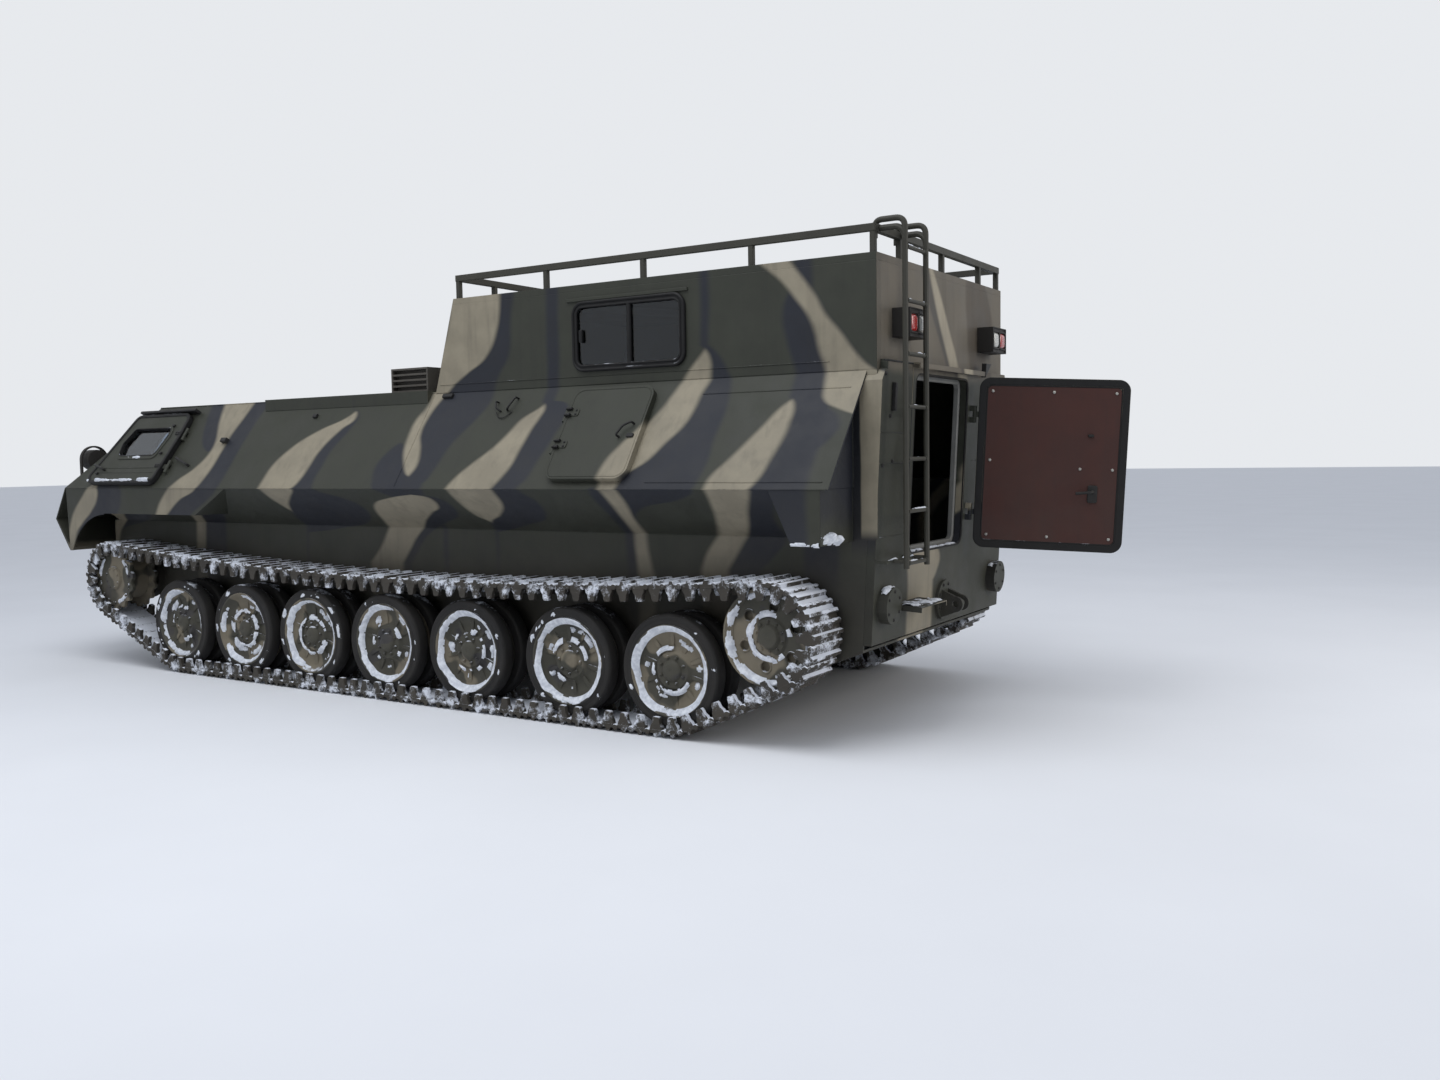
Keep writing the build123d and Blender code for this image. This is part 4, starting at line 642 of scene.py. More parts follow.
def heading(start, end):
    """The angle and length of the line between two circles' centres."""
    return math.atan2(end[1] - start[1], end[0] - start[0]), math.hypot(end[0] - start[0], end[1] - start[1])


def tangent(start, end):
    """The outward angle of the straight run from one circle to the next."""
    angle, length = heading(start, end)
    return angle - math.acos((start[2] - end[2]) / length)


def corner(near, far, across):
    """The angle between two sides of a triangle, from the three lengths."""
    return math.acos((near ** 2 + across ** 2 - far ** 2) / (2 * near * across))


back, span = heading(circles["sprocket"], circles["idler"])
back %= 2 * math.pi
arm, other_arm = sag + sprocket_pins, sag + idler_pins
leave_sprocket = back - corner(arm, other_arm, span)
meet_idler = back - math.pi + corner(other_arm, arm, span)
circles["sag"] = (sprocket_x + arm * math.cos(leave_sprocket), sprocket_z + arm * math.sin(leave_sprocket), -sag)
leave_idler = tangent(circles["idler"], circles["last"])
leave_first = tangent(circles["first"], circles["sprocket"])
# circle, and the outward angles where the track meets and leaves it
rounds = (
    ("sprocket", leave_first, leave_sprocket),
    ("sag", leave_sprocket, meet_idler),
    ("idler", meet_idler, leave_idler % (2 * math.pi)),
    ("last", leave_idler, -math.pi / 2),
    ("first", -math.pi / 2, leave_first),
)


def on_circle(name, angle):
    x, z, radius = circles[name]
    return Vector((x + radius * math.cos(angle), z + radius * math.sin(angle)))


path = []
for name, meet, leave in rounds:
    steps = max(2, int(abs(circles[name][2] * (leave - meet)) / 0.004))
    path.extend(on_circle(name, meet + (leave - meet) * k / steps) for k in range(steps + 1))
path.append(path[0])
lengths = [0.0]
for here, there in zip(path, path[1:]):
    lengths.append(lengths[-1] + (there - here).length)
link_count = round(lengths[-1] / pitch)
print("track loop", round(lengths[-1], 3), "m,", link_count, "links")


def along_path(distance):
    """The point at a distance along the loop."""
    distance %= lengths[-1]
    low, high = 0, len(lengths) - 1
    while high - low > 1:
        middle = (low + high) // 2
        low, high = (middle, high) if lengths[middle] <= distance else (low, middle)
    share = (distance - lengths[low]) / max(1e-9, lengths[high] - lengths[low])
    return path[low].lerp(path[high], share)

# %% [markdown]
# One link: a plate with a low cleat across its outer face, interlocking eyes for the pins at
# both ends, and a guide horn near each edge of its inner face that keeps the wheels on. The
# round pin heads stand out at the edges, bright with packed snow.

# %% Track links
link_half = 0.172
link_plate = ((-0.047, -0.014), (0.047, -0.014), (0.050, -0.004), (0.044, 0.006), (0.017, 0.009), (0.009, 0.029),
              (-0.009, 0.029), (-0.017, 0.009), (-0.044, 0.006), (-0.050, -0.004))
guide_horn = ((-0.043, -0.010), (-0.038, -0.034), (-0.027, -0.050), (-0.024, -0.076), (-0.017, -0.088),
              (0.017, -0.088), (0.024, -0.076), (0.027, -0.050), (0.038, -0.034), (0.043, -0.010))
eye_radius, eye_length = 0.0175, 0.037
# which end of the link, and where each eye starts across it
link_eyes = ((1, (-0.172, -0.098, -0.019, 0.061, 0.135)), (-1, (-0.135, -0.058, 0.021, 0.098)))
pin_head = ((0.170, 0.001), (0.170, 0.0185), (0.1765, 0.0185), (0.1795, 0.0155), (0.1802, 0.001))


def link_shape():
    """One link about its middle: x along the track, z outward, y across."""
    shapes = [prism(link_plate, -link_half, link_half), prism(guide_horn, 0.143, 0.171),
              prism(guide_horn, -0.171, -0.143)]
    turns = [math.pi * k / 5 for k in range(10)]
    for end, starts in link_eyes:
        eye = [(end * pitch / 2 + eye_radius * math.cos(t), eye_radius * math.sin(t)) for t in turns]
        shapes += [prism(eye, start, start + eye_length) for start in starts]
    shapes += [shifted(flipped(turned(pin_head, 12), side), pitch / 2, 0.0, 0.0) for side in (1, -1)]
    return joined(shapes)


def track(side):
    """All the links of one track."""
    links, one = [], link_shape()
    for index in range(link_count):
        start, end = (along_path(k * lengths[-1] / link_count) for k in (index, index + 1))
        middle, run = (start + end) / 2, (end - start).normalized()
        links.append(placed(one, Matrix((
            (run.x, 0, run.y, middle.x),
            (0, side, 0, side * track_half),
            (run.y, 0, -run.x, middle.y),
            (0, 0, 0, 1),
        ))))
    return joined(links)


for name, side in flanks.items():
    made = piece("track_links_" + name, track(side), track_steel, replaces=("track_" + name,))
    print(made.name, len(made.data.polygons), "faces")

# %% [markdown]
# Snow packs onto anything that rolls or lies flat. A patch is a fine grid laid on a surface and
# lifted by noise: thick in the middle, and sunk just under the surface where the noise is low,
# so that its edge comes out ragged.

# %% Snow patches
def snow_patch(place, columns, rows, depth, cover, grain, seed):
    """Snow on a surface. The place function turns two shares into a point and its outward direction."""
    points, faces, amounts = [], [], []
    for i in range(columns + 1):
        for j in range(rows + 1):
            point, outward = place(i / columns, j / rows)
            rim = min(1.0, 3.0 * min(j, rows - j) / rows)
            lumpy = noise.fractal(point * grain + Vector((seed, 1.7 * seed, -seed)), 1.0, 2.0, 4)
            amount = lumpy + cover - 0.6 * (1 - rim)
            amounts.append(amount)
            lift = depth * math.sqrt(min(1.0, 2.2 * amount)) if amount > 0 else -0.0015
            points.append(tuple(point + outward * lift))
    for i in range(columns):
        for j in range(rows):
            near, far = i * (rows + 1) + j, (i + 1) * (rows + 1) + j
            ring = (near, near + 1, far + 1, far)
            if max(amounts[k] for k in ring) > 0:
                faces.append(ring)
    return points, faces


def disc_snow(x, z, side, out, inner, outer, slope, *grid):
    """Snow on a ring that faces outward from the hull. The slope sinks it toward the axle."""
    def place(around_share, across_share):
        angle = 2 * math.pi * around_share
        radius = inner + (outer - inner) * across_share
        y = side * (track_half + out - slope * (1 - across_share))
        return Vector((x + radius * math.cos(angle), y, z + radius * math.sin(angle))), Vector((0, side, 0))
    return snow_patch(place, *grid)


snow, tree, shader = new_material("packed_snow")
grains = clouds(tree, object_place(tree), 260.0, 3.0, 0.7)
lumps = clouds(tree, object_place(tree), 30.0, 3.0, 0.6)
snow_colour = mix(tree, ramp(tree, lumps, 0.3, 0.7), linear(196, 200, 208), linear(232, 235, 240))
feed(tree, shader.inputs["Base Color"], snow_colour)
feed(tree, shader.inputs["Roughness"], ramp(tree, grains, 0.3, 0.7, 0.6, 0.9))
relief = scaled(tree, grains, 0.0008, product(tree, lumps, 0.004))
feed(tree, shader.inputs["Normal"], make(tree, "Bump", {}, Strength=0.7, Distance=1.0, Height=relief).outputs[0])
print("snow material:", len(tree.nodes), "nodes")

# %% [markdown]
# Each road wheel is a pair of dished steel discs on one hub, with a band of rubber on each. The
# outer disc shows a rolled rim, shallow ribs, a ring of nuts and a domed cap. The brush has
# slopped all three paint colours over them.

# %% Wheel shapes
def around(shape, count):
    """Copies of a shape turned about the y axis."""
    return [placed(shape, Matrix.Rotation(2 * math.pi * k / count, 4, "Y")) for k in range(count)]


def nuts(count, from_axle, foot, top, radius):
    """A ring of chamfered nuts about the y axis."""
    section = ((foot, 0.001), (foot, radius), (top, radius), (top + 0.002, radius - 0.002), (top + 0.002, 0.001))
    return around(shifted(turned(section, 6), from_axle, 0.0, 0.0), count)


def studs(count, from_axle, foot, top, radius, sides=8):
    """A ring of plain studs about the y axis."""
    section = ((foot, 0.001), (foot, radius), (top, radius), (top + 0.001, 0.001))
    return around(shifted(turned(section, sides), from_axle, 0.0, 0.0), count)


def other_side(section):
    """The same section on the other side of the wheel."""
    return [(-y, r) for y, r in reversed(section)]


disc_section = [
    (0.0, 0.112), (0.038, 0.112), (0.050, 0.150), (0.056, 0.215), (0.040, 0.240), (0.035, 0.262), (0.035, 0.272),
    (0.130, 0.272), (0.130, 0.263), (0.124, 0.257), (0.112, 0.250), (0.092, 0.232), (0.078, 0.214), (0.070, 0.180),
    (0.069, 0.148), (0.078, 0.126), (0.090, 0.116), (0.097, 0.108), (0.098, 0.066), (0.108, 0.061), (0.116, 0.052),
    (0.121, 0.034), (0.122, 0.010), (0.118, 0.001)]
band_section = [(0.0352, 0.273), (0.0352, 0.322), (0.042, 0.331), (0.052, 0.3345), (0.113, 0.3345), (0.123, 0.331),
                (0.1298, 0.322), (0.1298, 0.300), (0.1285, 0.296), (0.1298, 0.292), (0.1298, 0.273)]
rib = prism(((0.128, -0.011), (0.222, -0.015), (0.222, 0.015), (0.128, 0.011)), 0.066, 0.079)
one_face = around(rib, 10) + nuts(8, 0.083, 0.094, 0.106, 0.011) + studs(8, 0.083, 0.104, 0.113, 0.005)
both_discs = turned(other_side(disc_section) + disc_section[1:], 48)
wheel_shape = joined([both_discs] + [flipped(shape, side) for side in (1, -1) for shape in one_face])
tyre_shape = joined([turned(band_section, 64), turned(other_side(band_section), 64)])
print("one wheel:", len(wheel_shape[1]), "faces, its tyres:", len(tyre_shape[1]))

# %% [markdown]
# Every wheel is turned by its own angle. Snow sits in four rings on each: thick in the rim's
# gutter toward the rear, where the track throws it, and thin on the hub, the disc and the tyre.

# %% Road wheels and tyres
def blotched(name, scale, tan_above, blue_below, **finish):
    """A paint of olive with tan and blue blotches."""
    group, ins, outs = new_group(name + " colours", (("Scale", "Float", scale),), (("Color", "Color"),))
    field = clouds(group, object_place(group), ins["Scale"], 2.0, 0.45)
    blues = ramp(group, field, blue_below + 0.02, blue_below - 0.02)
    tans = ramp(group, field, tan_above - 0.02, tan_above + 0.02)
    colour = mix(group, blues, linear(52, 53, 44), linear(32, 35, 43))
    feed(group, outs["Color"], mix(group, tans, colour, linear(128, 119, 100)))
    return painted(name, group, clean=1.2, grain=1.6, chip=0.8, **finish)


wheel_disc_paint = blotched("wheel_disc_paint", 3.6, 0.56, 0.41, dirt=0.45, cling=0.12)
wheel_spots = [(x, side) for side in (1, -1) for x in wheel_xs]
random.seed(7)
wheel_turns = [random.uniform(0.0, 6.28) for spot in wheel_spots]


def at_wheels(shape):
    """The shape at each wheel, turned a little differently every time."""
    return joined([
        placed(shape, Matrix.Translation((x, side * track_half, wheel_z)) @ Matrix.Rotation(angle, 4, "Y"))
        for (x, side), angle in zip(wheel_spots, wheel_turns)])


wheels = piece("wheel_discs", at_wheels(wheel_shape), wheel_disc_paint, replaces=("road_wheels",))
tyres = piece("wheel_tyres", at_wheels(tyre_shape), tyre_rubber, replaces=("tyres",))
packed = []
for index, (x, side) in enumerate(wheel_spots):
    rearward = index % 7 / 6
    # out, inner, outer and slope, then columns, rows, depth, cover, grain and seed
    for patch in (
        (0.124, 0.226, 0.268, 0.028, 150, 6, 0.013, 0.12 + 0.75 * rearward, 6.0, index * 3.1),
        (0.094, 0.112, 0.150, -0.016, 90, 5, 0.012, random.uniform(-0.35, 0.15), 14.0, index * 5.3 + 9),
        (0.072, 0.146, 0.222, 0.0, 110, 10, 0.016, random.uniform(-0.42, -0.08), 11.0, index * 7.7 + 4),
        (0.129, 0.278, 0.325, 0.0, 120, 4, 0.006, random.uniform(-0.5, -0.2), 14.0, index * 2.9 + 6),
    ):
        packed.append(disc_snow(x, wheel_z, side, *patch))
piece("snow_on_wheels", joined(packed), snow, sharp=180)
print("wheels:", len(wheels.data.polygons), "faces, tyres:", len(tyres.data.polygons))

# %% [markdown]
# The idler at the rear is a twin disc too, but its web is pierced by six round holes with rolled
# lips. Each hole sits in a sixth of the web: a loop of faces runs from the hole's circle out to
# the edges of its sector.

# %% Idlers
hole_ring, web_face = 0.172, 0.088


def pierced_web(y, inner, outer, holes, ring, radius, depth):
    """A flat ring with round holes, each with a short sleeve behind it."""
    points, faces = [], []
    steps = 32
    half = math.pi / holes
    for hole in range(holes):
        centre = 2 * math.pi * hole / holes
        outward = Vector((math.cos(centre), 0, math.sin(centre)))
        sideways = Vector((-math.sin(centre), 0, math.cos(centre)))
        start = len(points)
        for k in range(steps):
            turn = 2 * math.pi * k / steps
            side, rise = math.sin(turn), math.cos(turn)
            scale = 1 / max(abs(side), abs(rise))
            angle = centre + half * side * scale
            reach = ring + (outer - ring if rise > 0 else ring - inner) * rise * scale
            edge = (reach * math.cos(angle), y, reach * math.sin(angle))
            lip = Vector((ring * math.cos(centre), 0, ring * math.sin(centre)))
            lip += radius * (rise * outward + side * sideways)
            points += [edge, (lip.x, y, lip.z), (lip.x, y - depth, lip.z)]
        for k in range(steps):
            a, b = start + 3 * k, start + 3 * ((k + 1) % steps)
            faces += [(a, b, b + 1, a + 1), (a + 1, b + 1, b + 2, a + 2)]
    return points, faces


def rolled_lip(y, radius, thick):
    """A small round ring."""
    angles = [2 * math.pi * k / 8 for k in range(9)]
    return turned([(y + thick * math.sin(t), radius + thick * math.cos(t)) for t in angles], 28)


idler_rim = [(0.060, 0.236), (0.050, 0.244), (0.036, 0.262), (0.036, 0.279), (0.130, 0.279), (0.130, 0.268),
             (0.122, 0.262), (0.104, 0.250), (0.090, 0.238)]
idler_hub = [(0.084, 0.118), (0.094, 0.104), (0.100, 0.100), (0.100, 0.072), (0.110, 0.066), (0.120, 0.058),
             (0.124, 0.036), (0.122, 0.001)]
one_face = [turned(idler_rim, 56), pierced_web(web_face, 0.112, 0.240, 6, hole_ring, 0.033, 0.03),
            turned(idler_hub, 40), turned([(0.060, 0.236), (0.056, 0.118)], 40)]
for turn in (2 * math.pi * k / 6 for k in range(6)):
    lip = rolled_lip(web_face, 0.034, 0.006)
    one_face.append(shifted(lip, hole_ring * math.cos(turn), 0, hole_ring * math.sin(turn)))
one_face = joined(one_face + nuts(10, 0.086, 0.094, 0.108, 0.009))
drum = turned([(-0.062, 0.112), (0.062, 0.112)], 40)
idler_shape = joined([one_face, flipped(one_face, -1), drum])
print("one idler:", len(idler_shape[1]), "faces")

# %% [markdown]
# Both idlers get their blotched paint, and snow in the rim's gutter and round the hub.

# %% Idlers in place
idler_paint = blotched("idler_paint", 3.0, 0.5, 0.40, dirt=0.6, cling=0.10)
at_idlers, packed = [], []
for index, side in enumerate(flanks.values()):
    spot = Matrix.Translation((idler_x, side * track_half, idler_z)) @ Matrix.Rotation(0.35, 4, "Y")
    at_idlers.append(placed(idler_shape, spot))
    for patch in (
        (0.122, 0.232, 0.272, 0.030, 140, 6, 0.018, 0.35, 9.0, 31.0 + index),
        (0.090, 0.105, 0.150, -0.006, 90, 6, 0.010, -0.1, 11.0, 47.0 + index),
    ):
        packed.append(disc_snow(idler_x, idler_z, side, *patch))
idlers = piece("idler_discs", joined(at_idlers), idler_paint, replaces=("idlers",))
piece("snow_on_idlers", joined(packed), snow, sharp=180)
print("idlers:", len(idlers.data.polygons), "faces")

# %% [markdown]
# The sprocket drives the track at the front: two toothed rings bolted to a deep dish. Each tooth
# has a rounded tip and a cupped root where a link's eye sits.

# %% Sprockets
# share of a tooth's pitch, and radius
tooth_line = ((-0.5, 0.2275), (-0.40, 0.229), (-0.30, 0.237), (-0.20, 0.249), (-0.12, 0.256), (0.0, 0.258),
              (0.12, 0.256), (0.20, 0.249), (0.30, 0.237), (0.40, 0.229))
dish = [(0.060, 0.214), (0.108, 0.212), (0.110, 0.196), (0.096, 0.176), (0.066, 0.150), (0.060, 0.118),
        (0.072, 0.104), (0.110, 0.098), (0.128, 0.092), (0.132, 0.070), (0.134, 0.001)]
sleeve = [(-0.157, 0.175), (-0.11, 0.175), (0.070, 0.175)]


def toothed_ring(low, high):
    """A ring with teeth for the track's pins."""
    outline = []
    for tooth in range(sprocket_teeth):
        for share, radius in tooth_line:
            angle = 2 * math.pi * (tooth + share) / sprocket_teeth
            outline.append((radius * math.cos(angle), radius * math.sin(angle)))
    return prism(outline, low, high)


rim_nuts = nuts(15, 0.203, 0.108, 0.120, 0.010)
cap_studs = studs(8, 0.080, 0.126, 0.138, 0.008, 6)
sprocket_shape = joined([toothed_ring(0.084, 0.110), turned(dish, 60)] + rim_nuts + cap_studs
                        + [toothed_ring(-0.110, -0.084), turned(sleeve, 48)])
at_sprockets, packed = [], []
for side in flanks.values():
    spot = Matrix.Translation((sprocket_x, side * track_half, sprocket_z)) @ Matrix.Rotation(-leave_first, 4, "Y")
    at_sprockets.append(placed(sprocket_shape, spot @ Matrix.Scale(side, 4, Vector((0, 1, 0)))))
    packed.append(disc_snow(
        sprocket_x, sprocket_z, side, 0.112, 0.17, 0.214, 0.012, 120, 6, 0.014, -0.1, 9.0, 61.0 + side))
sprockets = piece(
    "sprocket_rings", joined(at_sprockets), idler_paint, replaces=("sprockets",))
piece("snow_on_sprockets", joined(packed), snow, sharp=180)
print("sprockets:", len(sprockets.data.polygons), "faces")

# %% [markdown]
# The passenger windows and the windscreens get a darker glass than the panes of the cab doors: painted shade that
# stands for the dark inside behind them.

# %% Glass darkened as painted shade
shade_darkened_glass = glass.copy()
shade_darkened_glass.name = "shade_darkened_glass"
# The darker base colour is painted shade of the unlit inside seen through these panes.
shade_darkened_glass.node_tree.nodes["Principled BSDF"].inputs["Base Color"].default_value = (0.20, 0.26, 0.33, 1.0)
finish_nodes(shade_darkened_glass, "window_glass")
print("shade_darkened glass made")

# %% [markdown]
# Fittings sit on flat plates, so they are drawn flat, as u to the right, v up and w outward, and
# then carried onto the plate by its matrix. Rods, beads and seals are tubes along a path, and
# brackets are blocks with a small bevel.

# %% Plates
def plate(origin, across, outward):
    """The matrix of a plate, from its origin and two of its directions."""
    across, outward = Vector(across).normalized(), Vector(outward).normalized()
    rise = outward.cross(across)
    return Matrix.Translation(origin) @ Matrix((across, rise, outward)).transposed().to_4x4()


mirrored = Matrix.Scale(-1, 4, Vector((0, 1, 0)))
side_plate = {"left": plate((front_x, belt_half, belt_z), (-1, 0, 0), (0, math.cos(side_lean), math.sin(side_lean)))}
side_plate["right"] = mirrored @ side_plate["left"]
cabin_side = {"left": plate((front_x, cabin_half, 0), (-1, 0, 0), (0, 1, 0))}
cabin_side["right"] = mirrored @ cabin_side["left"]
rear_wall = plate((rear_x, 0, belt_z), (0, -1, 0), (-math.cos(rear_lean), 0, -math.sin(rear_lean)))
door_leaf = rear_wall @ Matrix.Translation((0.340, 0, 0.027)) @ Matrix.Rotation(math.radians(110), 4, "Y")
slope = math.atan2(crease_z - belt_z, 0.750)
glacis_plate = plate((at(0.200), 0, belt_z), (0, 1, 0), (math.sin(slope), 0, math.cos(slope)))
print("the windscreens lean", round(90 - math.degrees(slope), 1), "degrees back")

# %% [markdown]
# Outlines are lists of (u, v) points. They can be rounded at their corners or drawn inward.

# %% Outlines

def rounded(outline, radius, steps=6):
    """An outline with its corners rounded."""
    points = []
    for index, corner_at in enumerate(outline):
        corner_at = Vector(corner_at)
        before = Vector(outline[index - 1]) - corner_at
        after = Vector(outline[(index + 1) % len(outline)]) - corner_at
        half = before.angle(after) / 2
        back_off = min(radius / math.tan(half), 0.45 * before.length, 0.45 * after.length)
        size = back_off * math.tan(half)
        middle = corner_at + (before.normalized() + after.normalized()).normalized() * (size / math.sin(half))
        first = corner_at + before.normalized() * back_off - middle
        last = corner_at + after.normalized() * back_off - middle
        for k in range(steps + 1):
            points.append(tuple(middle + first.slerp(last, k / steps) * size))
    return points


def inset(outline, amount):
    """An outline drawn in toward its middle."""
    made, amount = [], amount * turning(outline)
    for index, corner_at in enumerate(outline):
        here = Vector(corner_at)
        along = (Vector(outline[(index + 1) % len(outline)]) - Vector(outline[index - 1])).normalized()
        made.append((here.x - along.y * amount, here.y + along.x * amount))
    return made


def turning(outline):
    """1 for an outline that runs anticlockwise, and -1 for one that runs clockwise."""
    total = sum(a[0] * b[1] - b[0] * a[1] for a, b in zip(outline, outline[1:] + outline[:1]))
    return 1 if total > 0 else -1


def box_outline(u_low, u_high, v_low, v_high):
    return [(u_low, v_low), (u_high, v_low), (u_high, v_high), (u_low, v_high)]


print("rounded corner test:", len(rounded(box_outline(0, 1, 0, 1), 0.1)), "points")

# %% [markdown]
# A block is an outline raised off the plate, and a flat frame is the same with its middle open.

# %% Blocks and frames
def block(outline, low, high, bevel=0.002):
    """An outline raised from low to high, with a bevel round its top."""
    rings = ((outline, low), (outline, high - bevel), (inset(outline, bevel), high))
    count = len(outline)
    points = [(u, v, w) for ring, w in rings for u, v in ring]
    faces = [tuple(range(count))[::-1], tuple(range(2 * count, 3 * count))]
    for row in range(2):
        for i in range(count):
            a, b = row * count + i, row * count + (i + 1) % count
            faces.append((a, b, b + count, a + count))
    return points, faces


def frame_ring(outline, width, low, high, bevel=0.002):
    """A flat frame that runs inward from an outline, raised from low to high."""
    rings = [(outline, low), (outline, high - bevel), (inset(outline, bevel), high),
             (inset(outline, width - bevel), high), (inset(outline, width), high - bevel), (inset(outline, width), low)]
    count = len(outline)
    points = [(u, v, w) for ring, w in rings for u, v in ring]
    faces = []
    for row in range(6):
        for i in range(count):
            a, b = row * count + i, row * count + (i + 1) % count
            c, d = (row + 1) % 6 * count + i, (row + 1) % 6 * count + (i + 1) % count
            faces.append((a, b, d, c))
    return points, faces


print("one frame:", len(frame_ring(box_outline(0, 1, 0, 1), 0.1, 0, 0.02)[1]), "faces")

# %% [markdown]
# A rod is a ring of points carried along a path, so handles, seals and hoops are all tubes.

# %% Rods
def tube(path, radius, sides=8, closed=False):
    """A round rod along a path of points."""
    path = [Vector(p) for p in path]
    count = len(path)
    points, faces = [], []
    side = None
    for index, here in enumerate(path):
        before = path[index - 1] if index or closed else here
        after = path[(index + 1) % count] if index < count - 1 or closed else here
        along = (after - before).normalized()
        if side is None:
            side = along.orthogonal().normalized()
        side = (side - along * side.dot(along)).normalized()
        other = along.cross(side)
        for k in range(sides):
            angle = 2 * math.pi * k / sides
            points.append(tuple(here + radius * (math.cos(angle) * side + math.sin(angle) * other)))
    rows = count if closed else count - 1
    for row in range(rows):
        for k in range(sides):
            a, b = row * sides + k, row * sides + (k + 1) % sides
            c, d = (row + 1) % count * sides + k, (row + 1) % count * sides + (k + 1) % sides
            faces.append((a, b, d, c))
    if not closed:
        faces += [tuple(range(sides))[::-1], tuple(range((count - 1) * sides, count * sides))]
    return points, faces


def bent(corners, radius, steps=5):
    """A path through corner points with each inner corner rounded."""
    made = [tuple(corners[0])]
    for before, here, after in zip(corners, corners[1:], corners[2:]):
        here = Vector(here)
        to_before, to_after = Vector(before) - here, Vector(after) - here
        cut = min(radius, 0.45 * to_before.length, 0.45 * to_after.length)
        first, last = here + to_before.normalized() * cut, here + to_after.normalized() * cut
        for k in range(steps + 1):
            share = k / steps
            made.append(tuple(first * (1 - share) ** 2 + here * 2 * share * (1 - share) + last * share ** 2))
    made.append(tuple(corners[-1]))
    return made


def bow(start, end, low, high, radius, bend=0.02):
    """A bow handle from one (u, v) point to another, standing up from low to high."""
    return tube(bent([(*start, low), (*start, high), (*end, high), (*end, low)], bend), radius)


def hoop(outline, w, radius, sides=8):
    """A round rod along an outline, all at one height."""
    return tube([(u, v, w) for u, v in outline], radius, sides, closed=True)


print("one bow handle:", len(bow((0, 0), (0.1, 0), 0, 0.03, 0.01)[1]), "faces")

# %% [markdown]
# Bolt and screw heads are small sections turned about w, and a weld bead is a thin uneven rod.

# %% Heads and beads
def standing(section, sides, u=0.0, v=0.0, w=0.0):
    """A section of (w, radius) points turned about w, at a place on a plate."""
    points, faces = turned(section, sides)
    return [(u + x, v + z, w + y) for x, y, z in points], faces


def bolt_head(u, v, w, radius=0.009, height=0.006):
    """A hexagon head on a washer, standing on a plate."""
    section = [(0.0, 1.45 * radius), (0.0015, 1.45 * radius), (0.0015, radius), (height, radius),
               (height + 0.0015, 0.8 * radius), (height + 0.0015, 0.0005)]
    return standing(section, 6, u, v, w)


def screw_head(u, v, w, radius):
    """A low domed head."""
    section = [(0.0, radius), (0.4 * radius, 0.8 * radius), (0.55 * radius, 0.4 * radius), (0.58 * radius, 0.0005)]
    return standing(section, 12, u, v, w)


def bead(start, end, radius=0.004, seed=1.0):
    """A weld bead between two points of a plate: a thin rod with a slightly uneven line."""
    start, end = Vector(start), Vector(end)
    count = max(2, int((end - start).length / 0.03))
    path = []
    for k in range(count + 1):
        wobble = 0.0012 * noise.noise(Vector((k * 0.7, seed, 0)))
        path.append(start.lerp(end, k / count) + Vector((0, wobble, 0)))
    return tube(path, radius, 6)


print("one bolt head:", len(bolt_head(0.0, 0.0, 0.0)[1]), "faces")

# %% [markdown]
# The side: a hood strip, a black bar and a lug by the cab door, lifting eyes below the cabin, and
# weld beads where plates meet. Both sides carry the same fittings.

# %% Side fittings and seams
black_paint = painted("black_fittings", linear(26, 26, 27), rough=0.5, dirt=0.2, chip=0.3, top=0.35)
hull_fittings, hull_beads = [], []
# corner points of a rod, and its radius
side_rods = (
    ([(1.571, 0.266, -0.002), (1.571, 0.266, 0.030), (1.746, 0.205, 0.030), (1.746, 0.205, -0.002)], 0.010),
    ([(4.745, 0.665, 0.0), (4.745, 0.655, 0.030), (4.770, 0.600, 0.034), (4.795, 0.592, 0.010),
      (4.795, 0.592, -0.004)], 0.006),
    ([(4.905, 0.690, 0.0), (4.905, 0.680, 0.034), (4.880, 0.605, 0.036), (4.850, 0.600, 0.010),
      (4.850, 0.600, -0.004)], 0.007),
    ([(4.760, 0.585, 0.004), (4.800, 0.540, 0.008), (4.850, 0.535, 0.008), (4.895, 0.585, 0.004)], 0.003),
)
# outline of a block, and its heights over the plate
side_blocks = (
    (box_outline(0.800, 1.535, 0.694, 0.716), -0.004, 0.056),
    (box_outline(2.025, 2.085, 0.405, 0.440), -0.002, 0.034),
    (box_outline(2.950, 2.990, 0.605, 0.635), -0.002, 0.018),
    (box_outline(4.210, 4.300, 0.722, 0.752), -0.002, 0.020),
)
side_beads = (
    ((0.230, 0.0), (7.330, 0.0)), ((4.150, 0.770), (7.330, 0.770)), ((6.150, 0.046), (7.300, 0.046)),
    ((6.350, 0.655), (7.310, 0.655)), ((4.110, 0.02), (4.110, 0.76)),
)
# half-width, height and front end of the two long beads, over the tracks and under the cabin's roof
long_beads = ((sill_half, sill_z, at(2.4)), (cabin_half, 2.140, at(4.16)))
for label, matrix in side_plate.items():
    for corners, radius in side_rods:
        hull_fittings.append(placed(tube(bent(corners, 0.02), radius), matrix))
    for outline, low, high in side_blocks:
        hull_fittings.append(placed(block(outline, low, high, 0.004), matrix))
    for number, (start, end) in enumerate(side_beads):
        hull_beads.append(placed(bead((*start, 0.0), (*end, 0.0), 0.0035, number + 0.5), matrix))
    for half_width, level, front_end in long_beads:
        run = bead((at(7.150), 0, 0), (front_end, 0, 0), 0.004, level)
        hull_beads.append(shifted(run, 0.0, flanks[label] * half_width, level))
piece("side_fittings", joined(hull_fittings), black_paint)
piece("weld_beads", joined(hull_beads), camouflage_paint)
print("side:", len(hull_fittings), "fittings,", len(hull_beads), "beads")
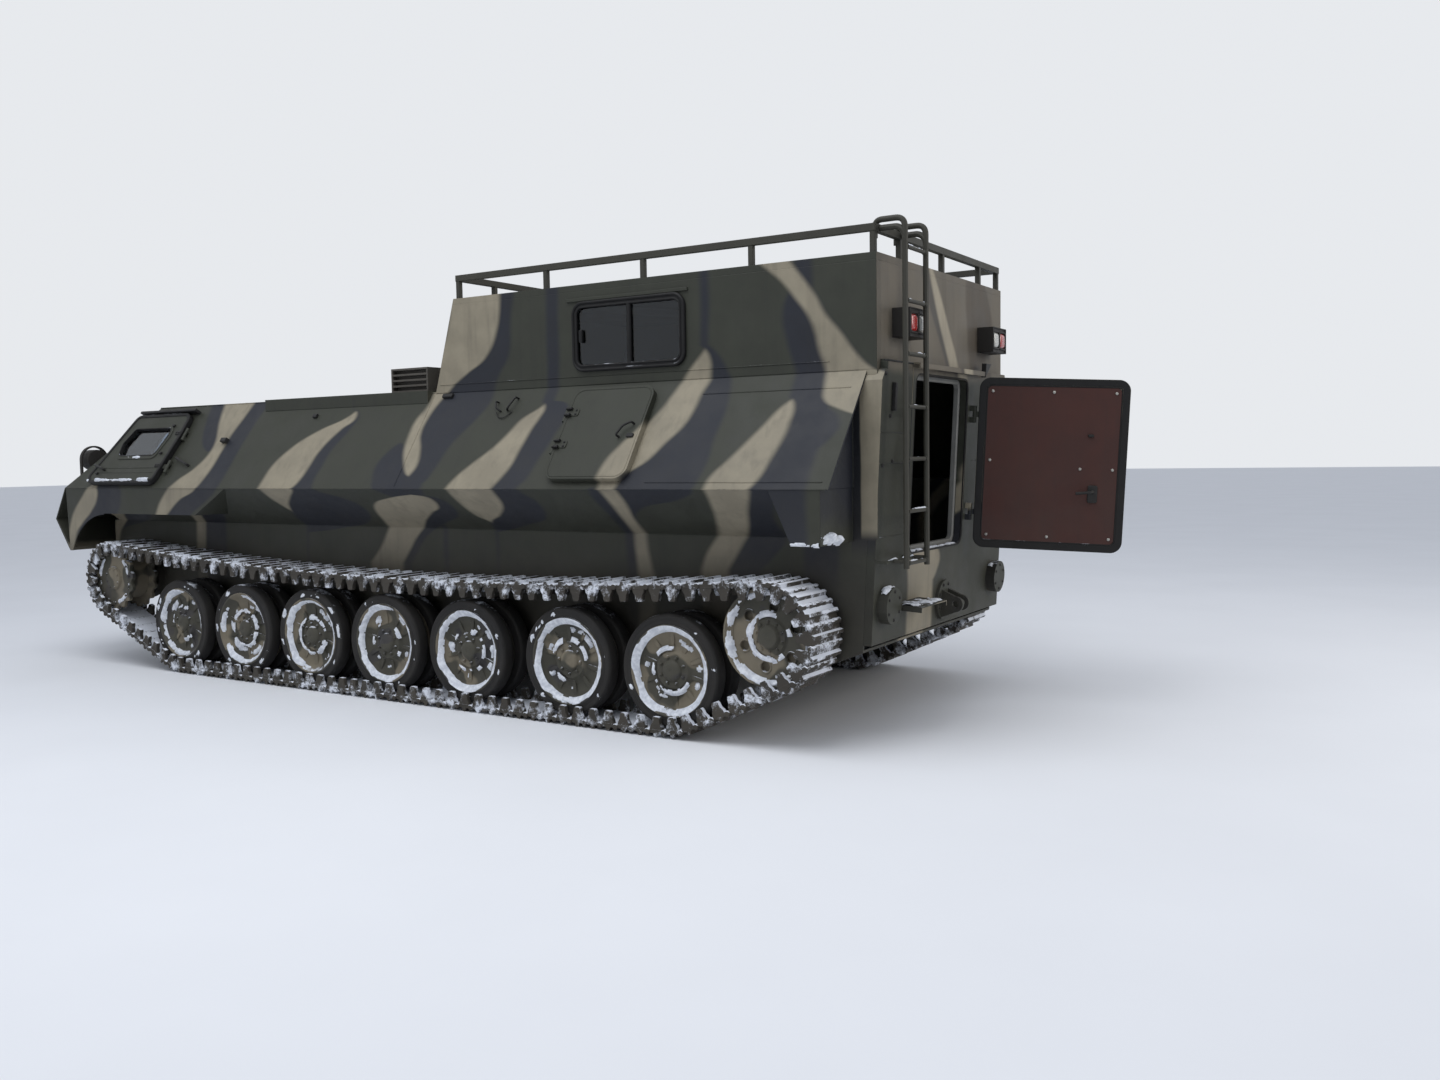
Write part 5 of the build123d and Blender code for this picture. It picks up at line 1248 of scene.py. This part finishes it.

# %% [markdown]
# The cab door has a black rubber edge, a rubber frame round its pane, a pressed seam, strap hinges
# and a bar handle. Everything is drawn on the side plate and rides on the door.

# %% Cab doors
door_face = 0.0403
door_outline = [(0.514, 0.028), (0.782, 0.678), (1.494, 0.678), (1.494, 0.480), (1.440, 0.028)]
pane_outline = [(0.805, 0.277), (0.775, 0.400), (0.850, 0.545), (1.345, 0.545), (1.345, 0.460), (1.290, 0.277)]
strap_spots = ((1.424, 0.490), (1.384, 0.188))
knob_spots = ((1.352, 0.560), (1.37, 0.30), (0.645, 0.115))


def lip_of_snow(start, end, v_low, v_high, w, matrix, depth, cover, seed):
    """Snow along a low edge of a plate, from one u to another."""
    def place(along_share, across_share):
        point = Vector((start + (end - start) * along_share, v_low + (v_high - v_low) * across_share, w))
        return matrix @ point, matrix.to_3x3() @ Vector((0, 0.3, 1))
    return snow_patch(place, int(abs(end - start) / 0.008), 6, depth, cover, 9.0, seed)


rubbers = [frame_ring(inset(rounded(door_outline, 0.070), -0.004), 0.028, 0.006, door_face + 0.006, 0.004),
           frame_ring(rounded(pane_outline, 0.050), 0.009, 0.018, door_face + 0.0085, 0.002)]
irons = [bow((0.585, 0.187), (0.722, 0.148), door_face - 0.002, door_face + 0.030, 0.009)]
irons += [block(box_outline(u, u + 0.062, v - 0.016, v + 0.016), door_face - 0.001, door_face + 0.009, 0.003)
          for u, v in strap_spots]
irons += [bolt_head(u + 0.014 + step, v, door_face + 0.009, 0.006, 0.004)
          for u, v in strap_spots for step in (0.0, 0.030)]
irons += [block(rounded(box_outline(u - 0.014, u + 0.014, v - 0.010, v + 0.010), 0.006, 3), door_face,
                door_face + 0.016, 0.003) for u, v in knob_spots]
seam = [bead((0.660, 0.167, door_face), (1.405, 0.167, door_face), 0.003, 3.0),
        bead((0.640, 0.122, door_face), (1.400, 0.122, door_face), 0.002, 5.0)]
for label, matrix in side_plate.items():
    body, side = "cab_door_" + label, flanks[label]
    piece("cab_door_rubber_" + label, placed(joined(rubbers), matrix), rubber_seal, body)
    piece("cab_door_handle_" + label, placed(joined(irons), matrix), black_paint, body)
    piece("cab_door_seam_" + label, placed(joined(seam), matrix), camouflage_paint, body)
    frost = lip_of_snow(0.560, 1.405, 0.034, 0.066, door_face + 0.004, matrix, 0.016, 0.30, 71.0 + side)
    sill = lip_of_snow(0.815, 1.260, 0.252, 0.278, door_face + 0.006, matrix, 0.009, 0.02, 83.0 + side)
    piece("cab_door_snow_" + label, joined([frost, sill]), snow, body, sharp=180)
print("cab doors:", len(irons), "irons each")

# %% [markdown]
# The side hatch is nearly bare: a rolled line round its edge, two strap hinges with open lugs on
# its front edge, and a bow handle with a lock plate.

# %% Side hatches
hatch_outline = rounded(box_outline(5.405, 6.020, 0.050, 0.715), 0.080, 8)
strap_levels = (0.295, 0.530)
bow_corners = [(5.880, 0.340, door_face), (5.874, 0.338, door_face + 0.030), (5.905, 0.400, door_face + 0.034),
               (5.955, 0.430, door_face + 0.030), (5.958, 0.432, door_face)]

lines = [hoop(inset(hatch_outline, 0.016), door_face - 0.001, 0.0045, 6)]
lines += [block(rounded(box_outline(5.412, 5.500, v - 0.026, v + 0.026), 0.012, 3), door_face - 0.001,
                door_face + 0.006, 0.002) for v in strap_levels]
irons = [tube(bent(bow_corners, 0.02), 0.007),
         block(rounded(box_outline(5.935, 5.985, 0.335, 0.362), 0.008, 3), door_face - 0.001, door_face + 0.012, 0.003)]
for v in strap_levels:
    for low in (v - 0.030, v + 0.015):
        lug = [(5.402, low), (5.448, low), (5.448, low + 0.015), (5.420, low + 0.015)]
        irons.append(block(lug, door_face - 0.004, door_face + 0.024, 0.003))
    irons += [bolt_head(5.480, v + step, door_face + 0.006, 0.006, 0.004) for step in (-0.014, 0.014)]
for label, matrix in side_plate.items():
    body = "side_hatch_" + label
    piece("side_hatch_lines_" + label, placed(joined(lines), matrix), camouflage_paint, body)
    piece("side_hatch_irons_" + label, placed(joined(irons), matrix), black_paint, body)
print("side hatches:", len(irons), "irons each")

# %% [markdown]
# The cabin's windows have a thick round rubber frame, a bar between the sliding panes and a
# finger pull. A drip rail runs above.

# %% Cabin windows
outer_edge = rounded(box_outline(5.340, 6.200, 2.167, 2.607), 0.085, 8)
lips = [hoop(inset(outer_edge, 0.010), 0.012, 0.010), hoop(inset(outer_edge, 0.036), 0.012, 0.008),
        block(box_outline(5.774, 5.796, 2.205, 2.569), 0.0, 0.019, 0.004),
        block(rounded(box_outline(5.398, 5.424, 2.350, 2.430), 0.006, 3), 0.0, 0.022, 0.004)]
for label, matrix in cabin_side.items():
    piece("window_rubber_" + label, placed(joined(lips), matrix), rubber_seal)
print("cabin windows:", len(lips), "rubber parts each")

# %% [markdown]
# The rear door stands open and shows its inside: a black rubber edge, the red-brown board with
# pale screws, and a lever. The doorway has a rubber bead and a pale jamb behind it.

# %% Rear door
half_leaf = 0.022
door_inside = door_leaf @ Matrix.Translation((0, 0, -half_leaf)) @ Matrix.Rotation(math.pi, 4, "Y")
door_outside = door_leaf @ Matrix.Translation((0, 0, half_leaf))
leaf_u, leaf_v, leaf_half_u, leaf_half_v = 0.4825, 0.1195, 0.4575, 0.540
leaf_outline = rounded(
    box_outline(leaf_u - leaf_half_u, leaf_u + leaf_half_u, leaf_v - leaf_half_v, leaf_v + leaf_half_v), 0.070, 8)
rubber_edge = [frame_ring(inset(leaf_outline, 0.001), 0.043, -0.012, 0.0024, 0.0015),
               hoop(inset(leaf_outline, 0.049), -0.0020, 0.005)]
piece("rear_door_rubber", placed(joined(rubber_edge), door_inside), rubber_seal, "rear_door")
pale_steel = painted("pale_steel", linear(168, 166, 160), rough=0.32, dirt=0.1, chip=0.0, top=0.0, metal=0.6)
screw_spots = [(du, dv) for du in (-0.375, 0.0, 0.375) for dv in (-0.455, 0.455)]
screw_spots += [(-0.375, 0.02), (0.375, -0.02), (0.18, -0.02)]
screws = [screw_head(leaf_u + du, leaf_v + dv, 0.0005, 0.010) for du, dv in screw_spots]
piece("rear_door_screws", placed(joined(screws), door_inside), pale_steel, "rear_door")
lever = [block(rounded(box_outline(0.715, 0.775, -0.110, 0.000), 0.012, 3), 0.0, 0.010, 0.003),
         tube(bent([(0.745, -0.040, 0.008), (0.745, -0.040, 0.050), (0.640, -0.052, 0.055)], 0.02), 0.009),
         block(rounded(box_outline(0.700, 0.735, 0.300, 0.318), 0.006, 3), 0.0, 0.014, 0.003)]
piece("rear_door_lever", placed(joined(lever), door_inside), black_paint, "rear_door")
outer_irons = [bow((-0.800, 0.10), (-0.680, 0.10), 0.0, 0.045, 0.009), screw_head(-0.840, 0.02, 0.0, 0.022)]
piece("rear_door_outer_irons", placed(joined(outer_irons), door_outside), black_paint, "rear_door")
pressing = hoop(inset(rounded(box_outline(-0.85, -0.12, -0.33, 0.57), 0.06), 0.0), 0.0, 0.005, 6)
piece("rear_door_pressing", placed(pressing, door_outside), camouflage_paint, "rear_door")
print("rear door:", len(screws), "screws")

# %% [markdown]
# The doorway itself stays on the hull: the rubber bead round it, the pale jamb behind, and a
# dusting of snow on its lower edge.

# %% Doorway
doorway_outline = rounded(box_outline(-0.560, 0.275, -0.3955, 0.6345), 0.060, 8)
piece("doorway_seal", placed(hoop(inset(doorway_outline, -0.006), -0.0060, 0.0080), rear_wall), rubber_seal)
jamb_paint = painted("jamb_paint", linear(128, 128, 124), rough=0.5, dirt=0.3, top=0.3)
jamb = frame_ring(inset(doorway_outline, -0.004), 0.030, -0.085, -0.052, 0.004)
piece("doorway_jamb", placed(jamb, rear_wall), jamb_paint)


def on_sill(along_share, across_share):
    """Places on the doorway's lower edge, which faces up."""
    here = rear_wall @ Vector((-0.520 + 0.760 * along_share, -0.3955, -0.046 + 0.042 * across_share))
    return here, Vector((0, 0, 1))


sill_snow = snow_patch(on_sill, 90, 6, 0.010, 0.15, 9.0, 19.0)
piece("doorway_snow", sill_snow, snow, sharp=180)
print("doorway:", len(sill_snow[1]), "faces of snow")

# %% [markdown]
# Rear lamps: each box holds a red lens on the outside and a clear one on the inside, both ribbed,
# in a dark frame. The headlamps have a round ribbed lens in a bright rim.

# %% Lamp lenses
def lens_material(name, colour):
    """Coloured plastic under a clear coat, kept as an opaque colour that keeps it from going black."""
    material, tree, shader = new_material(name)
    film = ramp(tree, clouds(tree, object_place(tree), 60.0, 3.0, 0.6), 0.4, 0.75)
    feed(tree, shader.inputs["Base Color"], mix(tree, product(tree, film, 0.35), colour, linear(120, 112, 104)))
    feed(tree, shader.inputs["Roughness"], scaled(tree, film, 0.25, 0.10))
    shader.inputs["Coat Weight"].default_value = 0.8
    return material


def square_lens(u, v, half, rise=0.010, cells=16):
    """A domed square lens with fine ribs."""
    points, faces = [], []
    wide = cells + 1
    for row in range(wide):
        for column in range(wide):
            s, t = 2 * column / cells - 1, 2 * row / cells - 1
            dome = (1 - abs(s) ** 5) * (1 - abs(t) ** 5)
            ribs = 0.0010 * math.cos(math.pi * row)
            corner_pull = 1 - 0.08 * s * s * t * t
            points.append((u + half * s * corner_pull, v + half * t * corner_pull, 0.001 + rise * dome + ribs * dome))
    for row in range(cells):
        for column in range(cells):
            a = row * wide + column
            faces.append((a, a + 1, a + wide + 1, a + wide))
    rim = list(range(wide)) + [(k + 1) * wide - 1 for k in range(1, wide)]
    rim += [wide * cells + k for k in range(cells - 1, -1, -1)] + [k * wide for k in range(cells - 1, 0, -1)]
    faces.append(tuple(rim)[::-1])
    return points, faces


red_lens = lens_material("red_lens", linear(168, 20, 16))
clear_lens = lens_material("clear_lens", linear(190, 190, 182))
reds, clears, lamp_frames = [], [], []
for side in (1, -1):
    face = plate((-3.3412, side * 0.680, 2.350), (0, -1, 0), (-1, 0, 0))
    for middle, batch in ((-side * 0.058, reds), (side * 0.058, clears)):
        batch.append(placed(square_lens(middle, 0.0, 0.046), face))
        outline = rounded(box_outline(middle - 0.056, middle + 0.056, -0.060, 0.060), 0.012, 3)
        lamp_frames.append(placed(frame_ring(outline, 0.010, 0.0, 0.008), face))
    for u, v in ((-0.110, 0.066), (0.110, 0.066), (-0.110, -0.066), (0.110, -0.066)):
        lamp_frames.append(placed(screw_head(u, v, 0.0, 0.005), face))
piece("rear_lamp_frames", joined(lamp_frames), lamp_housing)
piece("rear_lamps_red", joined(reds), red_lens)
piece("rear_lamps_clear", joined(clears), clear_lens)
print("rear lamps:", len(reds) + len(clears), "lenses")

# %% [markdown]
# A headlamp's glass is one section turned about its axis: a dome with rings pressed into it.

# %% Headlamps
def dome_section(radius, rings=8):
    """A domed section with a ring pressed in at every other step."""
    section = [(0.0, radius + 0.004), (0.006, radius)]
    for k in range(rings - 1, 0, -1):
        section.append((0.006 + 0.012 * (1 - (k / rings) ** 2) + 0.0012 * (-1) ** k, radius * k / rings))
    return section + [(0.019, 0.0004)]


rim_section = [(-0.006, 0.084), (0.004, 0.0845), (0.010, 0.080), (0.010, 0.073), (0.004, 0.069), (-0.006, 0.069)]
glasses, rims = [], []
for side in (1, -1):
    centre = glacis_plate @ Vector((side * 1.220, 0.235, 0.105))
    face = plate((centre.x + 0.0552, centre.y, centre.z), (0, 1, 0), (1, 0, 0))
    glasses.append(placed(standing(dome_section(0.066), 32), face))
    rims.append(placed(standing(rim_section, 40), face))
piece("headlamp_glasses", joined(glasses), clear_lens)
piece("headlamp_rims", joined(rims), pale_steel)
print("headlamps:", len(glasses))

# %% [markdown]
# The rear plate carries seams, bolts, a catch bar, the bolts of the hitch disc and of the buffers,
# and weld beads along the ledge. The left return is olive with a dark joint above the doorway.

# %% Rear fittings
rear_blocks = (
    (box_outline(-0.895, -0.868, 0.420, 0.575), 0.0, 0.022),
    (box_outline(-1.020, -0.620, 0.688, 0.698), -0.001, 0.004),
    ([(0.505, 0.665), (0.600, 0.755), (0.505, 0.755)], 0.0, 0.030),
    (box_outline(0.700, 0.960, 0.310, 0.330), 0.0, 0.012),
)
loose_bolts = ((-0.91, 0.39), (-0.99, 0.12), (-0.86, 0.14), (-0.99, 0.62), (0.91, 0.39), (0.99, 0.12))
rear_seams = (
    ((-1.03, 0.130), (-0.62, 0.130)), ((-1.03, -0.28), (-0.62, -0.28)), ((0.40, 0.130), (1.03, 0.130)),
    ((-0.612, -0.40), (-0.612, 0.672)), ((-0.612, 0.672), (0.33, 0.672)), ((-1.03, 0.30), (-0.62, 0.30)),
)


def bolt_circle(u, v, w, ring, count, first, *head):
    """Bolt heads round a disc, the first at an angle in degrees."""
    angles = [math.radians(first + 360 / count * k) for k in range(count)]
    return [bolt_head(u + ring * math.cos(t), v + ring * math.sin(t), w, *head) for t in angles]


rear_irons = [block(outline, low, high, 0.002) for outline, low, high in rear_blocks]
rear_irons += [bolt_head(u, v, 0.0, 0.010, 0.007) for u, v in loose_bolts]
for side in (1, -1):
    rear_irons += bolt_circle(side * 0.880, -0.666, 0.0615, 0.080, 6, 30, 0.008, 0.005)
rear_irons += bolt_circle(0.0, -0.730, 0.020, 0.102, 8, 22.5, 0.009, 0.006)
piece("rear_irons", placed(joined(rear_irons), rear_wall), black_paint)
gusset = block(box_outline(7.330, 7.441, 2.050, 2.112), -0.034, -0.001, 0.002)
piece("corner_gussets", joined([placed(gusset, matrix) for matrix in cabin_side.values()]), camouflage_paint)
rear_beads = [bead((*start, 0.0), (*end, 0.0), 0.003, k + 0.3) for k, (start, end) in enumerate(rear_seams)]
piece("rear_beads", placed(joined(rear_beads), rear_wall), camouflage_paint)
print(len(rear_irons), "rear irons,", len(rear_beads), "beads")

# %% [markdown]
# The windscreens have a rubber frame, a wiper each, and the roof lids a grab handle.

# %% Front and roof fittings
screen_parts, wiper_parts = [], []
for side in (1, -1):
    middle = side * 0.470
    ring = rounded(box_outline(middle - 0.375, middle + 0.375, 0.380, 0.740), 0.070, 8)
    screen_parts.append(frame_ring(ring, 0.028, -0.004, 0.008, 0.004))
    tip_u, tip_v = middle - 0.20, 0.560
    wiper_parts += [
        screw_head(middle, 0.360, 0.0, 0.016),
        tube([(middle, 0.360, 0.006), (middle, 0.360, 0.020), (tip_u, tip_v, 0.012)], 0.004),
        tube([(tip_u - 0.12, tip_v - 0.12, 0.006), (tip_u + 0.12, tip_v + 0.10, 0.006)], 0.005),
    ]
piece("windscreen_rubber", placed(joined(screen_parts), glacis_plate), rubber_seal)
piece("wipers", placed(joined(wiper_parts), glacis_plate), black_paint)
for label, side in flanks.items():
    lid = nodes["roof_hatch_" + label]
    top = max((lid.matrix_world @ Vector(c)).z for c in lid.bound_box)
    grab_x = at(1.560) + 0.16
    grab = bow((grab_x, side * 0.42), (grab_x, side * 0.52), top - 0.006, top + 0.006, 0.006, 0.01)
    piece("roof_hatch_grab_" + label, grab, black_paint, "roof_hatch_" + label)
    print("roof lid", label, "top at", round(top, 3))

# %% [markdown]
# Each ladder stile ends in a hook that loops over the rack's rail, and the rungs are welded on.

# %% Ladder hooks
hook_x, rail_x = at(7.575), at(7.450)
rungs, rung_z, rung_step = 7, 1.018, 0.287
ladder_hooks, rung_welds = [], []
# middle of a stile, and the step from it toward the rungs
for y, step in ((0.645, 0.0168), (0.935, -0.0168)):
    corners = [(hook_x, y, 2.760), (hook_x, y, 2.896), (rail_x + 0.052, y, 2.896), (rail_x + 0.052, y, 2.800)]
    ladder_hooks.append(tube(bent(corners, 0.055, 8), 0.0165, 12))
    for k in range(rungs):
        z = rung_z + rung_step * k
        rung_welds.append(tube([(hook_x, y + step, z), (hook_x, y + 1.6 * step, z)], 0.0155, 10))
piece("ladder_hooks", joined(ladder_hooks + rung_welds), rack_paint)
print(len(rung_welds), "rung welds")

# %% [markdown]
# Snow also lies on the lips and ledges at the rear: the fender's lower edge, with a lump at its
# corner, the step, the ledge bar, the buffers and the ladder's rungs.

# %% Snow on ledges
def buffer_snow(side, depth, cover, grain, seed):
    """Snow on the top of the round buffer of one side."""
    def place(along_share, across_share):
        angle = math.radians(90 + 96 * (along_share - 0.5))
        rise = Vector((math.cos(angle), math.sin(angle), 0))
        middle = Vector((side * 0.880, -0.6659, 0.030 + 0.052 * (0.5 - across_share)))
        return rear_wall @ (middle + rise * 0.106), rear_wall.to_3x3() @ rise
    return snow_patch(place, 24, 8, depth, cover, grain, seed)


def ledge_snow(start, end, across, outward, depth, cover, grain, seed):
    """Snow on a strip from start to end that is as wide as the across vector."""
    start, end, across, outward = Vector(start), Vector(end), Vector(across), Vector(outward)
    columns = max(8, int((end - start).length / 0.007))
    rows = max(5, int(across.length / 0.007))

    def place(along_share, across_share):
        return start.lerp(end, along_share) + across * (across_share - 0.5), outward
    return snow_patch(place, columns, rows, depth, cover, grain, seed)


fender_x, fender_z, ledge_x = at(7.2900), 1.1400, rear_x - 0.045
step_ends = [rear_wall @ Vector((u, -0.6740, 0.095)) for u in (-0.400, -0.760)]
up = (0, 0, 1)
ledges = []
for side in (1, -1):
    lip_y, lip_z = side * 1.4262, fender_z + 0.006
    ledges.append(ledge_snow(
        (fender_x + 0.172, lip_y, lip_z), (fender_x - 0.002, lip_y, lip_z), (0, 0, 0.026), (0, side, 0.5),
        0.010, 0.42, 9.0, 101.0 + side))
    ledges.append(ledge_snow(
        (fender_x - 0.008, side * 1.424, fender_z + 0.030), (fender_x - 0.008, side * 1.090, fender_z + 0.024),
        (0, 0, 0.085), (-1, 0, 0.4), 0.045, 0.22, 5.0, 113.0 + side))
    ledges.append(buffer_snow(side, 0.012, 0.1, 12.0, 127.0 + side))
ledges.append(ledge_snow(*step_ends, (0.16, 0, 0.008), up, 0.012, -0.05, 9.0, 131.0))
ledges.append(ledge_snow(
    (ledge_x, 0.660, 1.039), (ledge_x, 1.000, 1.039), (0.012, 0, 0), up, 0.010, 0.1, 9.0, 137.0))
for k in range(rungs):
    z = 1.0295 + rung_step * k
    ledges.append(ledge_snow(
        (hook_x, 0.665, z), (hook_x, 0.915, z), (0.016, 0, 0), up, 0.007, -0.02 - 0.05 * k, 11.0, 141.0 + k))
piece("snow_on_ledges", joined(ledges), snow, sharp=180)
print(len(ledges), "strips of snow")

# %% [markdown]
# Benches and cab seats are stuffed covers. Each cushion starts as a slightly small block, is
# remeshed, blown up as cloth, held to a centimetre of swelling, and gets its piping afterwards.

# %% Cover material
cover_paint, tree, shader = new_material("navy_cover")
place = object_place(tree)
threads = [
    make(tree, "TexWave", {"wave_type": "BANDS", "bands_direction": way}, Vector=place, Scale=260.0).outputs["Fac"]
    for way in ("X", "Y")]
rubbed = ramp(tree, clouds(tree, place, 9.0, 4.0, 0.6), 0.45, 0.75)
cover_colour = mix(tree, product(tree, rubbed, 0.4), linear(24, 31, 62), linear(60, 66, 90))
feed(tree, shader.inputs["Base Color"], cover_colour)
shader.inputs["Roughness"].default_value = 0.75
shader.inputs["Sheen Weight"].default_value = 0.3
cover_bump = make(tree, "Bump", {}, Strength=0.4, Distance=0.0006, Height=product(tree, *threads))
feed(tree, shader.inputs["Normal"], cover_bump.outputs[0])
print("cover:", len(tree.nodes), "nodes")

# %% [markdown]
# The cloth solver swells each block over twenty frames. The cushion keeps the block's points, so
# only the swelling differs.

# %% Cushions
def swelled(width, depth, height, cap=0.012, voxel=0.008):
    """A cushion as points and faces: middle of its underside at the origin."""
    half_width, half_depth = width / 2 - 0.005, depth / 2 - 0.005
    outline = rounded(box_outline(-half_width, half_width, -half_depth, half_depth), 0.030, 4)
    points, faces = block(outline, 0.0, height - 0.006, 0.012)
    mesh = bpy.data.meshes.new("cushion_block")
    mesh.from_pydata(points, [], faces)
    stuffing = bpy.data.objects.new("cushion_block", mesh)
    scene.collection.objects.link(stuffing)
    remesh = stuffing.modifiers.new("even_grid", "REMESH")
    remesh.mode, remesh.voxel_size = "VOXEL", voxel
    even = bpy.data.meshes.new_from_object(stuffing.evaluated_get(bpy.context.evaluated_depsgraph_get()))
    stuffing.modifiers.clear()
    stuffing.data = even
    start = [v.co.copy() for v in even.vertices]
    ends = start
    cloth = stuffing.modifiers.new("swelling", "CLOTH")
    cloth.settings.use_pressure = True
    cloth.settings.uniform_pressure_force = 4.0
    cloth.settings.effector_weights.gravity = 0.0
    for frame_number in range(1, 21):
        scene.frame_set(frame_number)
    blown = stuffing.evaluated_get(bpy.context.evaluated_depsgraph_get()).to_mesh()
    ends = [v.co.copy() for v in blown.vertices]
    stuffing.modifiers.clear()
    scene.frame_set(1)
    made = []
    for before, after in zip(start, ends):
        push = after - before
        if push.length > cap:
            push *= cap / push.length
        here = before + push
        made.append((here.x, here.y, max(0.0, here.z)))
    shape = made, [tuple(p.vertices) for p in even.polygons]
    bpy.data.objects.remove(stuffing)
    return shape


def piping(width, depth, height):
    """The sewn cord round a cushion's upper edge, and its zip line below."""
    edge = rounded(box_outline(-width / 2, width / 2, -depth / 2, depth / 2), 0.034, 5)
    return joined([hoop(edge, height - 0.012, 0.004, 6), hoop(edge, 0.016, 0.0025, 6)])


bench_cushion, bench_piping = swelled(0.728, 0.392, 0.082), piping(0.736, 0.400, 0.082)
seat_cushion, seat_piping = swelled(0.470, 0.470, 0.110), piping(0.478, 0.478, 0.110)
back_cushion, back_piping = swelled(0.440, 0.400, 0.085), piping(0.448, 0.408, 0.085)
print("cushions:", len(bench_cushion[0]), "points in a bench cushion")

# %% [markdown]
# On each side three bench cushions lie end to end, and one cab seat has a cushion, a raked back
# with a shell behind it, and a plain stand.

# %% Seats
for label, side in flanks.items():
    seat_y = side * 0.470
    spots = []
    for k in range(3):
        bench = Matrix.Translation((at(4.500 + 0.367 + 0.7333 * k), side * (tub_inner_half - 0.200), 1.030))
        spots.append((bench_cushion, bench_piping, bench))
    spots.append((seat_cushion, seat_piping, Matrix.Translation((at(1.600), seat_y, 1.002))))
    rake = Matrix.Translation((at(1.838), seat_y, 1.320)) @ Matrix.Rotation(math.radians(102), 4, "Y")
    spots.append((back_cushion, back_piping, rake @ Matrix.Rotation(math.pi, 4, "X")))
    covers = [placed(cushion, spot) for cushion, edge, spot in spots]
    cover = piece("seat_covers_" + label, joined(covers), cover_paint, replaces=("seats",))
    cords = [placed(edge, spot) for cushion, edge, spot in spots]
    piece("seat_piping_" + label, joined(cords), rubber_seal)
    shell = [(at(1.870), 1.06), (at(1.962), 1.565), (at(1.950), 1.567), (at(1.856), 1.06)]
    stand = [block(box_outline(at(1.80), at(1.44), seat_y - 0.180, seat_y + 0.180), 0.660, 1.000, 0.004),
             prism(shell, seat_y - 0.225, seat_y + 0.225)]
    piece("seat_stands_" + label, joined(stand), inner_paint)
    print(label, "seats:", len(spots), "cushions")

# %% [markdown]
# A plain studio: a pale floor that keeps the shadow, a soft even sky, one broad lamp overhead and
# one low behind the vehicle, where the winter sun was. Camera and mirror rays see a pale sky.

# %% Studio
floor_size = 90.0
mesh = bpy.data.meshes.new("studio_floor")
corners = [(x * floor_size, y * floor_size, -0.002) for x, y in ((-1, -1), (1, -1), (1, 1), (-1, 1))]
mesh.from_pydata(corners, [], [(0, 1, 2, 3)])
floor = bpy.data.objects.new("studio_floor", mesh)
scene.collection.objects.link(floor)
material, tree, shader = new_material("studio_floor")
pale = mix(tree, clouds(tree, object_place(tree), 0.8, 3.0), (0.74, 0.75, 0.77, 1), (0.80, 0.81, 0.83, 1))
feed(tree, shader.inputs["Base Color"], pale)
shader.inputs["Roughness"].default_value = 0.9
mesh.materials.append(material)

world = bpy.data.worlds.new("studio_sky")
scene.world = world
world.use_nodes = True
tree = world.node_tree
rise = three(tree, make(tree, "TexCoord", {}).outputs["Generated"])[2]
soft_light = mix(tree, ramp(tree, rise, -0.1, 0.9), (0.30, 0.31, 0.33, 1), (0.62, 0.66, 0.74, 1))
rays = make(tree, "LightPath", {}).outputs
mirrored_or_through = sums(tree, "MAXIMUM", rays["Is Glossy Ray"], rays["Is Transmission Ray"])
seen = sums(tree, "MAXIMUM", rays["Is Camera Ray"], mirrored_or_through)
feed(tree, tree.nodes["Background"].inputs["Color"], mix(tree, seen, soft_light, (0.80, 0.82, 0.85, 1)))


def lamp(name, place, target, size, power, colour):
    """A square area lamp aimed at a point."""
    light = bpy.data.lights.new(name, "AREA")
    light.shape, light.size, light.energy, light.color = "SQUARE", size, power, colour
    holder = bpy.data.objects.new(name, light)
    holder.location = place
    holder.rotation_euler = (Vector(target) - Vector(place)).to_track_quat("-Z", "Y").to_euler()
    scene.collection.objects.link(holder)


lamp("overhead", (-1.0, 4.0, 9.0), (0.0, 0.0, 1.0), 7.0, 480.0, (0.95, 0.97, 1.0))
lamp("low_rear", (-12.0, -2.5, 5.0), (-2.0, 0.0, 1.6), 4.0, 240.0, (1.0, 0.95, 0.88))
